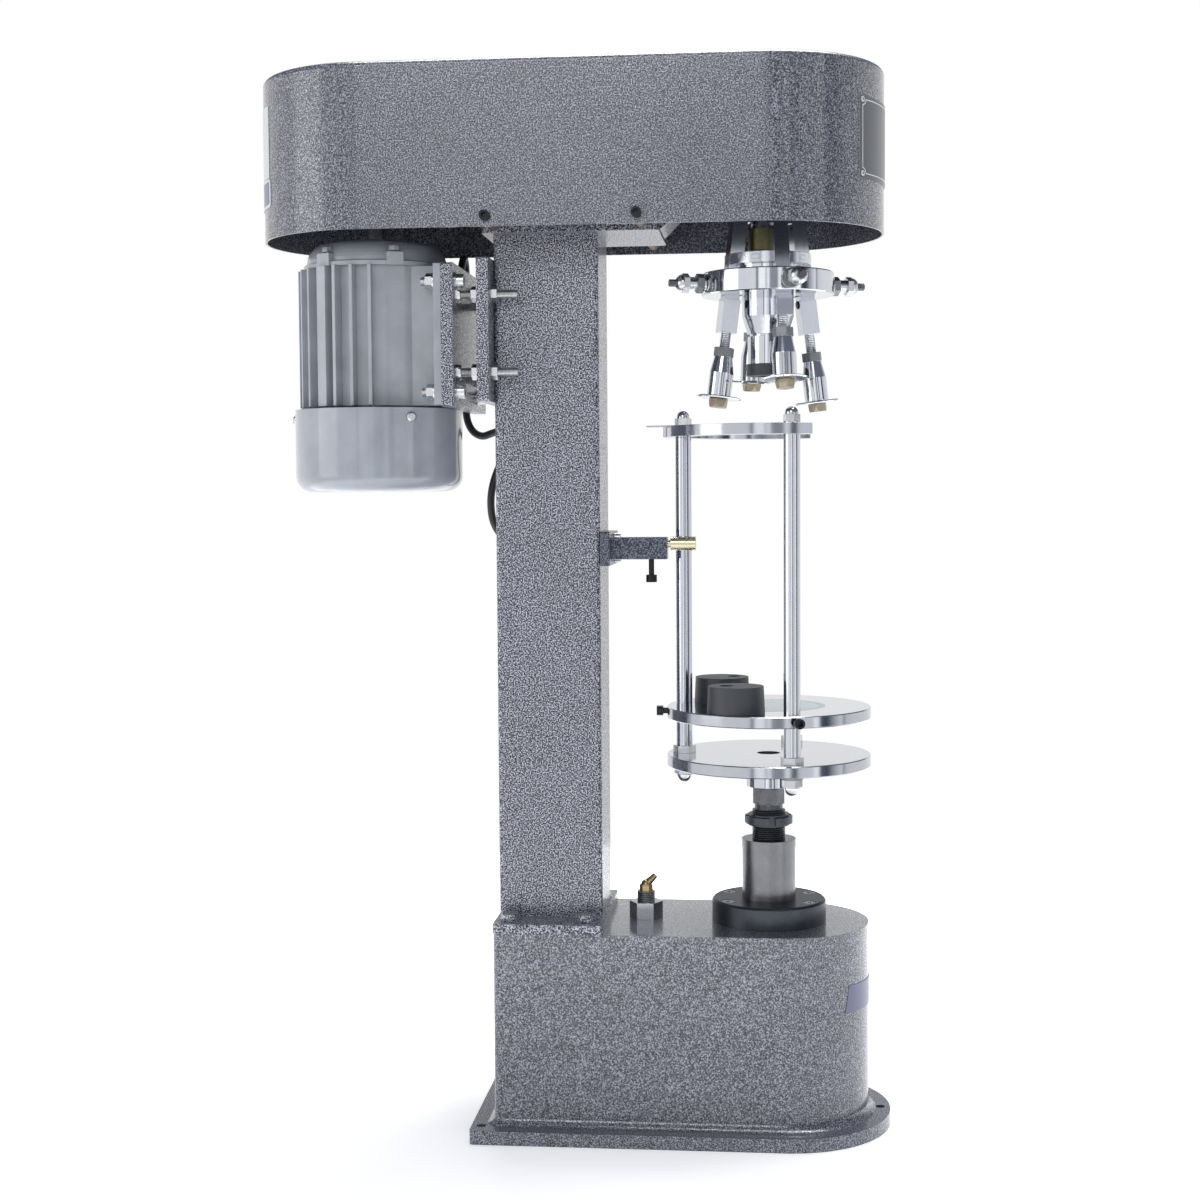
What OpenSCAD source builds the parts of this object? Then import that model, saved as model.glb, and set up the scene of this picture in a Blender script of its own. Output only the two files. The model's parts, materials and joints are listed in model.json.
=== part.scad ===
// Bench capping machine with a belt driven four roller head, a bottle cage on a
// lifting ram, and a motor on the back of the column.
// Millimetres. Z is up, the spindle axis is X = 0, Y = 0, and the base stands on Z = 0.
// +X points from the column towards the bottle cage.

/* [Base casting] */
// Spindle axis to the back end of the housing
base_back = 258; // [252:1:275]
// Width of the housing
base_w = 161; // [158:1:175]
// Centre of the round nose, ahead of the spindle axis
nose_x = 15; // [8:1:24]
// Height of the housing
base_h = 195; // [188:1:215]
// Wall thickness of the housing
base_wall = 9; // [7:0.5:11]
// Thickness of the foot flange
foot_t = 13; // [10:0.5:16]
// How far the foot flange stands out of the housing
foot_out = 21; // [16:0.5:28]
// Radius of the cove between the foot flange and the housing
cove_r = 11; // [8:0.5:13]
// Corner radius at the back of the housing
base_corner_r = 7; // [5:0.5:12]
// Corner radius at the back of the foot flange
foot_corner_r = 5; // [3:0.5:8]
// Radius of the holes that hold the foot flange to a bench
foot_hole_r = 4.5; // [3.5:0.1:5.5]
// Distance from those holes to the edge of the foot flange
foot_hole_edge = 9.5; // [8:0.5:12]
// Distance between the two back holes
foot_hole_pitch = 170; // [150:1:176]

/* [Column] */
// Column axis behind the spindle axis
column_x = 207; // [204:1:210]
// Size of the column along X
column_w = 99; // [92:1:102]
// Size of the column along Y
column_d = 88; // [80:1:92]
// Wall thickness of the column
column_wall = 6; // [4:0.5:8]
// Thickness of the column's foot plate
column_foot_t = 9; // [7:0.5:12]
// Length of the column's foot plate along X
column_foot_l = 104; // [103:1:106]
// Height of the top of the column above the floor
column_top = 850; // [846:1:870]
// Diameter of the threads of the column bolts
column_bolt_d = 10; // [8:1:12]
// Distance between the column bolts along X
column_bolt_px = 73; // [66:1:80]
// Distance between the column bolts along Y
column_bolt_py = 126; // [116:1:134]

/* [Hood] */
// Back end of the hood, behind the spindle axis
hood_back = 483; // [478:1:500]
// Front end of the hood, ahead of the spindle axis
hood_front = 109; // [105:1:120]
// Width of the hood
hood_w = 224; // [220:1:236]
// Height of the hood
hood_h = 151; // [146:1:165]
// Sheet thickness of the hood
hood_t = 2; // [1.5:0.1:3]
// How far the hood's rim hangs below the top of the column
hood_drop = 1.5; // [0:0.5:4]
// Radius of the bend at the hood's top edge
hood_edge_r = 5; // [3:0.5:8]

/* [Spindle arm and drive] */
// Thickness of the arm's plate
arm_t = 14; // [12:0.5:18]
// Half width of the arm's plate
arm_half = 58; // [50:1:62]
// Underside of the bearing housing above the top of the column
housing_rise = 38; // [36:1:44]
// Height of the bearing housing
housing_h = 60; // [56:1:64]
// Outside radius of the bearing housing
housing_r = 38; // [34:0.5:44]
// Outside radius of the spindle bearings
bearing_r = 26; // [24:0.5:28]
// Width of the spindle bearings
bearing_w = 15; // [12:0.5:18]
// Radius of the spindle in its bearings
spindle_r = 12.5; // [11.5:0.1:13]
// Radius of the spindle's pulley
spindle_pulley_r = 75; // [65:1:82]
// Radius of the pulley on the lift shaft
lift_pulley_r = 58; // [54:1:64]
// Radius of the motor's pulley
motor_pulley_r = 30; // [26:1:36]
// Width of the pulleys
pulley_w = 28; // [24:1:30]
// Width of the belt
belt_w = 18; // [14:1:20]
// Thickness of the belt
belt_t = 6; // [4:0.5:8]
// Radius of the lift shaft inside the column
lift_shaft_r = 10; // [8:0.5:12]

/* [Capping head] */
// Turn of the head in which it is shown
head_turn = 20; // [0:1:45]
// Radius of the lever ring
ring_r = 63; // [60:0.5:66]
// Thickness of the lever ring
ring_t = 21; // [18:0.5:24]
// Underside of the lever ring below the top of the column
ring_drop = 57; // [55:0.5:59]
// Radius of the lever carrier above the ring
carrier_r = 41; // [38:0.5:43]
// Thickness of the lever carrier
carrier_t = 10; // [8:0.5:11]
// Distance of the lever pins from the spindle axis
pivot_r = 33.3; // [32.8:0.1:34]
// Radius of the lever pins
lever_pin_r = 2.5; // [2:0.1:3]
// Side of the square levers
lever_s = 14; // [12:0.5:14.5]
// Side of the block at the foot of a lever
lever_block_s = 16; // [14:0.5:17]
// Lean of the open levers
lever_lean = 7; // [6:0.1:7.5]
// Length of the levers above their pins
lever_up = 48; // [45:0.5:52]
// Length of the low pair of levers below their pins
lever_down = 69; // [60:0.5:72]
// How much shorter the high pair of levers is
lever_step = 13; // [10:0.5:16]
// How much higher the high pair of rollers runs
roller_step = 16; // [12:0.5:20]
// Radius of the threaded rods in the levers
rod_r = 4.7; // [4:0.1:5]
// Length of rod that shows between lever and lock nut
rod_gap = 14; // [8:0.5:18]
// Radius of the roller holder at its top
holder_top_r = 8.6; // [8:0.1:9.5]
// Radius of the roller holder at its foot
holder_foot_r = 11.4; // [10:0.1:12.5]
// Length of the roller holder
holder_h = 37.5; // [34:0.5:42]
// Radius of the rollers
roller_r = 21.75; // [18:0.25:23]
// Thickness of the rollers
roller_t = 2; // [1.5:0.1:4]
// Radius of the presser
presser_r = 24.5; // [23:0.1:24.6]
// Radius of the presser's neck
presser_neck_r = 19.2; // [17:0.1:20]
// Length of the presser's neck
presser_neck_h = 28; // [24:0.5:30]
// Radius of the rubber tip
tip_r = 20.5; // [18:0.1:21]
// Thickness of the rubber tip
tip_h = 11; // [8:0.5:14]
// Travel of the presser
presser_travel = 10; // [8:0.5:11]

/* [Bottle cage] */
// Radius of the round plates
plate_r = 97.5; // [94:0.5:104]
// Thickness of the round plates
plate_t = 11; // [8:0.5:14]
// Underside of the table plate above the top of the ram
table_up = 71.7; // [66:0.1:78]
// Underside of the locating plate above the table plate's underside
plate_gap = 45.9; // [44:0.1:60]
// Underside of the cage ring above the table plate's underside
cage_h = 314.3; // [300:0.1:322]
// Distance of the posts from the spindle axis
post_circle_r = 81; // [80:0.5:85]
// Radius of the posts
post_r = 7.8; // [6.5:0.1:8.2]
// Angle of the two front posts
post_angle = 74; // [65:1:85]
// Thickness of the cage ring
cage_ring_t = 10; // [8:0.5:13]
// Inside radius of the cage ring
cage_ring_in = 75; // [74:0.1:76]
// Where the cage ring is cut off, ahead of the spindle axis
cage_ring_cut = 41; // [36:1:50]
// Radius of the insert in the locating plate
insert_r = 54; // [45:0.5:60]
// Depth of the insert
insert_t = 4; // [3:0.5:6]
// Radius of the loose rubber pads
pad_r = 27; // [24:0.5:29]
// Height of the loose rubber pads
pad_h = 25; // [20:0.5:30]

/* [Lift] */
// Radius of the lift flange
flange_r = 54.7; // [50:0.1:58]
// Thickness of the lift flange
flange_t = 21.5; // [18:0.5:25]
// Radius of the ram
ram_r = 25.75; // [24:0.25:28]
// Top of the ram above the housing
ram_up = 79; // [76:0.5:88]
// Radius of the table screw's thread
screw_r = 15.75; // [15:0.25:16.5]
// Lift of the cam
lift = 40; // [30:1:40]
// Radius of the cam at its low point
cam_r = 25; // [24:0.5:27]
// Height of the cam shaft above the floor
cam_z = 78; // [77:0.5:80]
// Radius of the round nose under the ram
nose_r = 9; // [8:0.5:10]

/* [Stop arm] */
// Height of the stop arm's axis above the floor
stop_z = 554.7; // [545:0.1:565]
// Side of the stop arm's square tube
stop_s = 21; // [20:0.5:24]
// Offset of the stop arm to the near side
stop_y = 15; // [14.8:0.1:18]
// Reach of the stop arm's tube from the column
stop_reach = 62; // [56:0.5:62]
// Radius of the guide pin
guide_pin_r = 6.7; // [6:0.1:6.8]

/* [Motor] */
// Motor axis behind the spindle axis
motor_x = 377; // [375:1:380]
// Underside of the fan cowl above the floor
motor_z = 610; // [600:1:616]
// Height of the fan cowl
cowl_h = 79; // [70:1:84]
// Radius of the fan cowl
cowl_r = 80.7; // [78:0.1:84]
// Height of the finned frame
frame_h = 131; // [120:1:134]
// Radius over the fins
fin_r = 75.5; // [72:0.1:78]
// Height of the fins
fin_h = 11; // [8:0.5:14]
// Thickness of the fins
fin_t = 3.4; // [2.5:0.1:4.5]
// Angle between the fins
fin_step = 13.5; // [12:0.5:20]
// Height of the upper end shield
shield_h = 29; // [25:0.5:30]
// Half width of the two mounting plates
plate_half = 75; // [70:1:80]
// Reach of the motor plate to the far side
plate_far = 112; // [100:1:120]
// Thickness of the two mounting plates
mount_t = 11.5; // [9:0.5:13]
// Gap between the two mounting plates
mount_gap = 22; // [20:0.5:26]

/* [Hidden] */
$fn = 64;
// Clearance of a running fit, of a bolt in its hole and of parts that pass freely
run = 0.05;
fit = 0.1;
free = 0.3;
eps = 0.01;

// Heights that the pieces share
foot_top = foot_t;
ram_top = base_h + ram_up;
table_z = ram_top + table_up;
foot_front_x = nose_x + base_w / 2 + foot_out;
column_z = base_h + column_foot_t;
column_front_x = -column_x + column_w / 2;
column_back_x = -column_x - column_w / 2;
hood_z = column_top - hood_drop;
hood_in_r = hood_w / 2 - hood_t;
housing_z = column_top + housing_rise;
housing_top = housing_z + housing_h;
pulley_z = housing_top + 7;
pulley_top = pulley_z + pulley_w;
belt_z = pulley_z + (pulley_w - belt_w) / 2;
belt_seat = belt_t - 2;
ring_z = column_top - ring_drop;
ring_top = ring_z + ring_t;
carrier_z = ring_top + 7;
carrier_top = carrier_z + carrier_t;
pivot_z = carrier_z + carrier_t / 2;
lever_names = ["left", "near", "right", "far"];
lever_turns = [180 + head_turn, 270 + head_turn, head_turn, 90 + head_turn];
lever_steps = [0, lever_step, 0, lever_step];
// The holders are screwed out by hand, so no two rollers run at quite the same height
roller_steps = [0, roller_step, -3.5, roller_step + 2.5];

// Flat shapes

module rounded_rect(x0, y0, x1, y1, r) {
  translate([x0 + r, y0])
    square([x1 - x0 - 2 * r, y1 - y0]);
  translate([x0, y0 + r])
    square([x1 - x0, y1 - y0 - 2 * r]);
  for (x = [x0 + r, x1 - r])
    for (y = [y0 + r, y1 - r])
      translate([x, y])
        circle(r);
}

// A straight sided outline with one round end at +X
module nosed_outline(back, half, centre, r) {
  rounded_rect(-back, -half, centre, half, r);
  translate([centre - r - 1, -half])
    square([r + 1, 2 * half]);
  translate([centre, 0])
    circle(half, $fn = 128);
}

module obround(back, front, half) {
  translate([-back + half, -half])
    square([back + front - 2 * half, 2 * half]);
  for (x = [-back + half, front - half])
    translate([x, 0])
      circle(half, $fn = 128);
}

// Solids that repeat

module hex_prism(across_flats, h) {
  cylinder(r = across_flats / 2 / cos(30), h = h, $fn = 6);
}

// A hexagon with its corners turned off at the top
module hex_head(across_flats, h) {
  intersection() {
    hex_prism(across_flats, h);
    cylinder(r1 = across_flats * 0.62, r2 = across_flats * 0.5, h = h, $fn = 48);
  }
}

module hex_nut(across_flats, h, bore_r) {
  difference() {
    hex_prism(across_flats, h);
    translate([0, 0, -1])
      cylinder(r = bore_r, h = h + 2);
  }
}

// Socket head screw standing on Z = 0 with its shank below
module socket_screw(d, shank) {
  difference() {
    cylinder(d = 1.6 * d, h = d);
    translate([0, 0, 0.45 * d])
      hex_prism(0.83 * d, d);
  }
  translate([0, 0, -shank])
    cylinder(d = d - 2 * fit, h = shank + eps);
}

module tube(r_out, r_in, h) {
  difference() {
    cylinder(r = r_out, h = h);
    translate([0, 0, -1])
      cylinder(r = r_in, h = h + 2);
  }
}

// Flat pulley with two rims that keep the belt on
module pulley(r, bore_r, h) {
  rim = (h - belt_w) / 2 - free;
  difference() {
    union() {
      cylinder(r = r - belt_seat, h = h, $fn = 96);
      for (z = [0, h - rim])
        translate([0, 0, z])
          cylinder(r = r + 2, h = rim, $fn = 96);
    }
    translate([0, 0, -1])
      cylinder(r = bore_r, h = h + 2);
    if (r > 50)
      for (a = [0 : 60 : 300])
        rotate(a)
          translate([r * 0.55, 0, -1])
            cylinder(r = r * 0.17, h = h + 2);
  }
}

// Base

// The arc starts a little inside both faces, so it meets them at an angle
module cove_profile() {
  centre = cove_r - 0.5;
  difference() {
    translate([-2, -2])
      square(centre + 2);
    translate([centre, centre])
      circle(cove_r);
  }
}

module base_cove() {
  half = base_w / 2;
  length = base_back + nose_x - base_corner_r;
  translate([nose_x, 0, foot_top])
    rotate(-90)
      rotate_extrude(angle = 180, $fn = 128)
        translate([half, 0])
          cove_profile();
  for (side = [1, -1])
    translate([nose_x, side * half, foot_top])
      rotate([90, 0, -90])
        linear_extrude(length)
          scale([side < 0 ? 1 : -1, 1])
            cove_profile();
  translate([-base_back, half - base_corner_r, foot_top])
    rotate([90, 0, 0])
      linear_extrude(2 * half - 2 * base_corner_r)
        scale([-1, 1])
          cove_profile();
  for (side = [1, -1])
    translate([-base_back + base_corner_r, side * (half - base_corner_r), foot_top])
      rotate(side > 0 ? 90 : 180)
        rotate_extrude(angle = 90)
          translate([base_corner_r, 0])
            cove_profile();
}

foot_holes = [[-base_back - foot_out + foot_hole_edge, foot_hole_pitch / 2],
  [-base_back - foot_out + foot_hole_edge, -foot_hole_pitch / 2],
  [foot_front_x - foot_hole_edge, 0]];
column_bolts = [for (i = [-1, 1], j = [-1, 1])
  [-column_x + i * column_bolt_px / 2, j * column_bolt_py / 2]];
ceiling_z = base_h - base_wall;
column_bolt_in = base_wall + 4;
flange_screw_r = flange_r - 10;
flange_screw_turns = [30, 150, 210, 330];
flange_screw_l = 30;
flange_boss_r = flange_r + 2;
hanger_x = 30;
hanger_t = 12;
cam_shaft_r = 10;
grease_x = -119;
grease_hole_r = 9;

module base_casting() {
  color("slategray")
  difference() {
    union() {
      linear_extrude(foot_t)
        nosed_outline(base_back + foot_out, base_w / 2 + foot_out, nose_x, foot_corner_r);
      linear_extrude(base_h)
        nosed_outline(base_back, base_w / 2, nose_x, base_corner_r);
      base_cove();
    }
    difference() {
      translate([0, 0, -1])
        linear_extrude(ceiling_z + 1)
          nosed_outline(base_back - base_wall, base_w / 2 - base_wall, nose_x, 4);
      base_inner_ribs();
    }
    translate([0, 0, ceiling_z - 20])
      cylinder(r = ram_r + 3, h = base_wall + 22);
    translate([-column_x, 0, ceiling_z - 1])
      cylinder(r = lift_shaft_r + 8, h = base_wall + 2);
    for (p = foot_holes)
      translate([p[0], p[1], -1])
        cylinder(r = foot_hole_r, h = foot_t + 2);
    for (p = column_bolts)
      translate([p[0], p[1], base_h - column_bolt_in])
        cylinder(d = column_bolt_d, h = column_bolt_in + 1);
    for (a = flange_screw_turns)
      rotate(a)
        translate([flange_screw_r, 0, ceiling_z - 6])
          cylinder(r = 3, h = base_wall + 7);
    translate([grease_x, 0, ceiling_z - 1])
      cylinder(r = grease_hole_r, h = base_wall + 2);
    translate([hanger_x - 1, 0, cam_z])
      rotate([0, 90, 0])
        cylinder(r = cam_shaft_r + run, h = hanger_t + 2);
  }
}

// Bosses under the ceiling, the hanger that carries the cam shaft and the cross tie
module base_inner_ribs() {
  translate([0, 0, ceiling_z - 14])
    cylinder(r = flange_boss_r, h = 15);
  for (p = column_bolts)
    translate([p[0], sign(p[1]) * base_w / 2 - (p[1] > 0 ? 30 : 0), ceiling_z - 12])
      translate([-10, 0, 0])
        cube([20, 30, 13]);
  translate([hanger_x, -22, cam_z - 18])
    cube([hanger_t, 44, ceiling_z - cam_z + 19]);
  translate([-8, -base_w / 2, -1])
    cube([16, base_w, 11]);
}

module base_bolts() {
  color("gray")
  union() {
    for (p = column_bolts)
      translate([p[0], p[1], column_z]) {
        hex_head(16, 7);
        translate([0, 0, -column_foot_t - column_bolt_in + 2])
          cylinder(d = column_bolt_d - 2 * fit, h = column_foot_t + column_bolt_in - 2 + eps);
      }
    for (a = flange_screw_turns)
      rotate(a)
        translate([flange_screw_r, 0, base_h + flange_t])
          difference() {
            union() {
              translate([0, 0, -3.5])
                cylinder(r1 = 3, r2 = 6, h = 3.3);
              translate([0, 0, -flange_screw_l - 3])
                cylinder(r = 3 - fit, h = flange_screw_l);
            }
            translate([0, 0, -2.2])
              hex_prism(4, 3);
          }
  }
}

// Column

module column() {
  half_w = column_w / 2;
  half_d = column_d / 2;
  color("lightslategray")
  difference() {
    union() {
      translate([-base_back, -base_w / 2, base_h])
        linear_extrude(column_foot_t)
          rounded_rect(0, 0, column_foot_l, base_w, 3);
      translate([-column_x, 0, base_h])
        linear_extrude(column_top - base_h)
          rounded_rect(-half_w, -half_d, half_w, half_d, 4);
    }
    translate([-column_x, 0, base_h - 1])
      linear_extrude(column_top - base_h + 2)
        rounded_rect(-half_w + column_wall, -half_d + column_wall,
          half_w - column_wall, half_d - column_wall, 2);
    for (p = column_bolts)
      translate([p[0], p[1], base_h - 1])
        cylinder(d = column_bolt_d + 1, h = column_foot_t + 2);
    translate([gland_x, 0, gland_z])
      rotate([-90, 0, 0])
        cylinder(r = gland_r, h = column_d);
    for (p = stop_screw_places)
      translate([column_front_x - column_wall - 1, p[0], p[1]])
        rotate([0, 90, 0])
          cylinder(r = 3, h = column_wall + 2);
  }
}

// Arm that carries the spindle, and its bearings

arm_front_x = -100;
arm_web_half = 34;
arm_top = column_top + arm_t;
arm_back_x = column_back_x - 9;
bend_x = -112;

// Side view of the rising part of the arm
module arm_side() {
  bend_r = 22;
  rise_x = bend_x + bend_r * sin(45);
  rise_z = column_top + bend_r * (1 - cos(45));
  foot_z = housing_z - rise_z;
  polygon(concat(
    [for (a = [0 : 9 : 45]) [bend_x + bend_r * sin(a), column_top + bend_r * (1 - cos(a))]],
    [[rise_x + foot_z, housing_z], [-20, housing_z], [-20, housing_z + 14],
      [rise_x + foot_z - 8, housing_z + 14], [bend_x - 8, column_top + arm_t],
      [bend_x - 30, column_top + arm_t], [bend_x - 30, column_top]]));
}

// Side view of the two ribs on the arm
module arm_rib_side() {
  polygon([[arm_back_x + 20, arm_top - 1], [bend_x, arm_top - 1], [-60, housing_z + 12],
    [-25, housing_z + 12], [-25, housing_top - 6], [-55, housing_top - 10],
    [arm_back_x + 70, arm_top + 22]]);
}

module spindle_arm() {
  color("lightslategray")
  difference() {
    union() {
      translate([0, 0, column_top])
        linear_extrude(arm_t)
          rounded_rect(arm_back_x, -arm_half, arm_front_x, arm_half, 5);
      translate([0, arm_web_half, 0])
        rotate([90, 0, 0])
          linear_extrude(2 * arm_web_half)
            arm_side();
      for (y = [-arm_web_half + 9, arm_web_half])
        translate([0, y, 0])
          rotate([90, 0, 0])
            linear_extrude(9)
              arm_rib_side();
      translate([0, 0, housing_z])
        cylinder(r = housing_r, h = housing_h);
    }
    translate([0, 0, housing_z - 1])
      cylinder(r = bearing_r - 4, h = housing_h + 2);
    for (z = [housing_z - eps, housing_top - bearing_w - 2])
      translate([0, 0, z])
        cylinder(r = bearing_r + fit, h = bearing_w + 2 + eps);
    translate([-column_x, 0, column_top - 1])
      cylinder(r = lift_shaft_r + run, h = arm_t + 2);
    for (p = hood_screw_xs)
      for (side = [-1, 1])
        translate([p, side * (arm_half - 12), hood_screw_z])
          rotate([-90 * side, 0, 0])
            cylinder(r = 3, h = 14);
  }
}

module spindle_bearings() {
  color("silver")
  for (z = [housing_z + 2, housing_top - bearing_w - 2])
    translate([0, 0, z])
      difference() {
        cylinder(r = bearing_r, h = bearing_w);
        translate([0, 0, -1])
          cylinder(r = spindle_r + run, h = bearing_w + 2);
        for (side = [-1, bearing_w - 1.5])
          translate([0, 0, side])
            tube(bearing_r - 3, spindle_r + 3.5, 2.5);
      }
}

// Hood

hood_screw_xs = [-253, -116];
hood_screw_z = column_top + 8;

// Half of the hood's cross section with its bent top edge
module hood_section(inset) {
  half = hood_w / 2 - inset;
  top = hood_h - inset;
  bend = hood_edge_r - inset;
  square([half - bend, top]);
  square([half, top - bend]);
  translate([half - bend, top - bend])
    circle(bend);
}

module hood_body(inset) {
  back = -hood_back + hood_w / 2;
  front = hood_front - hood_w / 2;
  for (x = [back, front])
    translate([x, 0, 0])
      rotate_extrude($fn = 128)
        hood_section(inset);
  translate([back, 0, 0])
    rotate([90, 0, 90])
      linear_extrude(front - back) {
        hood_section(inset);
        mirror([1, 0])
          hood_section(inset);
      }
}

module hood() {
  color("slategray")
  translate([0, 0, hood_z])
    difference() {
      hood_body(0);
      hood_body(hood_t);
      translate([0, 0, -1])
        linear_extrude(2)
          obround(hood_back - hood_t, hood_front - hood_t, hood_in_r);
      for (x = hood_screw_xs)
        translate([x, hood_w, hood_screw_z - hood_z])
          rotate([90, 0, 0])
            cylinder(r = 3.3, h = 2 * hood_w);
    }
}

spacer_gap = hood_in_r - arm_half;

module frame_screws() {
  color("dimgray")
  union() {
    for (x = hood_screw_xs)
      for (side = [-1, 1])
        translate([x, 0, hood_screw_z]) {
          translate([0, side * hood_w / 2, 0])
            rotate([-90 * side, 0, 0])
              socket_screw(6, hood_t + spacer_gap + 10);
          translate([0, side * arm_half, 0])
            rotate([-90 * side, 0, 0])
              tube(6, 3 + eps, spacer_gap);
        }
    for (p = stop_screw_places)
      translate([column_front_x + stop_plate_t, p[0], p[1]])
        rotate([0, 90, 0])
          socket_screw(6, stop_plate_t + 4);
    translate([lock_screw_x, -stop_y, lock_head_z])
      rotate([180, 0, 0]) {
        cylinder(r = 5.2, h = 7);
        translate([0, 0, -lock_screw_l])
          cylinder(r = 2.6, h = lock_screw_l + eps);
      }
  }
}

// Motor seat on the column, with draw bolts that set the belt's tension

tension_y = 60;
column_plate_x = column_back_x - mount_t;
motor_plate_x = column_plate_x - mount_gap - mount_t;
motor_plate_z = motor_z + cowl_h;
motor_plate_h = frame_h + 2;
column_plate_z = motor_plate_z + 4.5;
tension_zs = [motor_plate_z + 32, motor_plate_z + motor_plate_h - 29];
tension_bolt_r = 4;

module plate_holes(x, r) {
  for (y = [-tension_y, tension_y])
    for (z = tension_zs)
      translate([x - 1, y, z])
        rotate([0, 90, 0])
          cylinder(r = r, h = mount_t + 2);
}

module column_plate() {
  color("slategray")
  difference() {
    translate([column_plate_x, -plate_half, column_plate_z])
      rotate([90, 0, 90])
        linear_extrude(mount_t)
          rounded_rect(0, 0, 2 * plate_half, motor_plate_h, 3);
    plate_holes(column_plate_x, tension_bolt_r + free);
  }
}

module tension_nuts() {
  color("silver")
  for (y = [-tension_y, tension_y])
    for (z = tension_zs)
      for (x = [column_plate_x - 6.5, column_plate_x + mount_t])
        translate([x, y, z])
          rotate([0, 90, 0])
            hex_nut(13, 6.5, tension_bolt_r + run);
}

// Motor

shaft_r = 9.5;
frame_z = motor_z + cowl_h + 2;
shield_z = frame_z + frame_h;
shield_top = shield_z + shield_h;
body_r = fin_r - fin_h;
foot_face_x = motor_plate_x;
motor_foot_half = 68;
foot_t_motor = 8;
foot_bolt_y = 60;
foot_screw_h = 7;
foot_bolt_zs = [frame_z + 12, frame_z + frame_h - 16];
// Angles are counted from the foot. The fins stop beside it and beside the tie rods
tie_rod_turns = [122, 238];
lug_turns = [64, 122, 238, 296];
fin_turns = [for (a = [-106 : fin_step : 104], s = [180])
  if (abs(abs(a) - 58) > 9) s + a];

module motor_frame() {
  color("gray")
  translate([-motor_x, 0, frame_z])
    difference() {
      union() {
        cylinder(r = body_r, h = frame_h, $fn = 96);
        linear_extrude(frame_h)
          for (a = fin_turns)
            rotate(a)
              translate([body_r - 2, -fin_t / 2])
                square([fin_h + 2, fin_t]);
        for (a = tie_rod_turns)
          rotate(a)
            translate([body_r - 4, -5.5, 0])
              cube([fin_h + 4, 11, frame_h]);
        translate([20, -motor_foot_half + 20, 0])
          cube([motor_x + foot_face_x - 20, 2 * motor_foot_half - 40, frame_h]);
        translate([motor_x + foot_face_x - foot_t_motor, -motor_foot_half, 0])
          cube([foot_t_motor, 2 * motor_foot_half, frame_h]);
      }
      // Grooves leave two thick foot webs beside a hollow back
      translate([body_r + 1, -26, -1])
        cube([motor_x + foot_face_x - body_r, 52, frame_h + 2]);
      translate([0, 0, 8])
        cylinder(r = body_r - 8, h = frame_h);
      translate([0, 0, -1])
        cylinder(r = shaft_r + 6, h = 12);
      for (y = [-foot_bolt_y, foot_bolt_y])
        for (z = foot_bolt_zs)
          translate([motor_x + foot_face_x - 9, y, z - frame_z])
            rotate([0, 90, 0])
              cylinder(r = 4 + free, h = 10);
    }
}

module motor_end_shield() {
  color("gray")
  translate([-motor_x, 0, shield_z])
    difference() {
      union() {
        rotate_extrude($fn = 96)
          polygon(concat([[0, 0], [body_r + 6, 0], [body_r + 6, 4], [body_r + 3, 5]],
            [for (a = [10 : 10 : 80])
              [body_r - 14 + 17 * cos(a), 5 + (shield_h - 9) * sin(a)]],
            [[body_r - 18, shield_h - 4], [30, shield_h - 3], [26, shield_h], [0, shield_h]]));
        for (a = lug_turns)
          rotate(a)
            translate([body_r - 6, -8, 0])
              cube([14, 16, 12]);
      }
      translate([0, 0, -1])
        cylinder(r = body_r - 10, h = shield_h - 9);
      translate([0, 0, -1])
        cylinder(r = shaft_r + run, h = shield_h + 2);
    }
}

module fan_cowl() {
  bend = 16;
  color("darkgray")
  translate([-motor_x, 0, motor_z])
    difference() {
      rotate_extrude($fn = 96)
        difference() {
          union() {
            square([cowl_r - bend, bend]);
            translate([cowl_r - bend, bend])
              circle(bend);
            translate([0, bend])
              square([cowl_r, cowl_h - bend]);
          }
          translate([-bend, -bend])
            square([bend, cowl_h + 2 * bend]);
          translate([-1, bend])
            square([cowl_r - 1, cowl_h]);
          translate([-1, 2])
            square([cowl_r - bend + 1, bend]);
          translate([cowl_r - bend, bend])
            circle(bend - 2);
        }
      for (a = [0 : 30 : 330])
        rotate(a)
          translate([18, -2.5, -1])
            linear_extrude(5)
              rounded_rect(0, 0, 40, 5, 2.4);
      for (a = [64, 184, 304])
        rotate(a)
          translate([cowl_r - 6, 0, cowl_h - 9])
            rotate([0, 90, 0])
              cylinder(r = 2.5, h = 10);
    }
}

module motor_plate() {
  color("slategray")
  difference() {
    translate([motor_plate_x, -plate_half, motor_plate_z])
      rotate([90, 0, 90])
        linear_extrude(mount_t)
          rounded_rect(0, 0, plate_half + plate_far, motor_plate_h, 3);
    plate_holes(motor_plate_x, tension_bolt_r);
    for (y = [-foot_bolt_y, foot_bolt_y])
      for (z = foot_bolt_zs)
        translate([motor_plate_x - 1, y, z])
          rotate([0, 90, 0])
            cylinder(r = 4 + free, h = mount_t + 2);
  }
}

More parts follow.
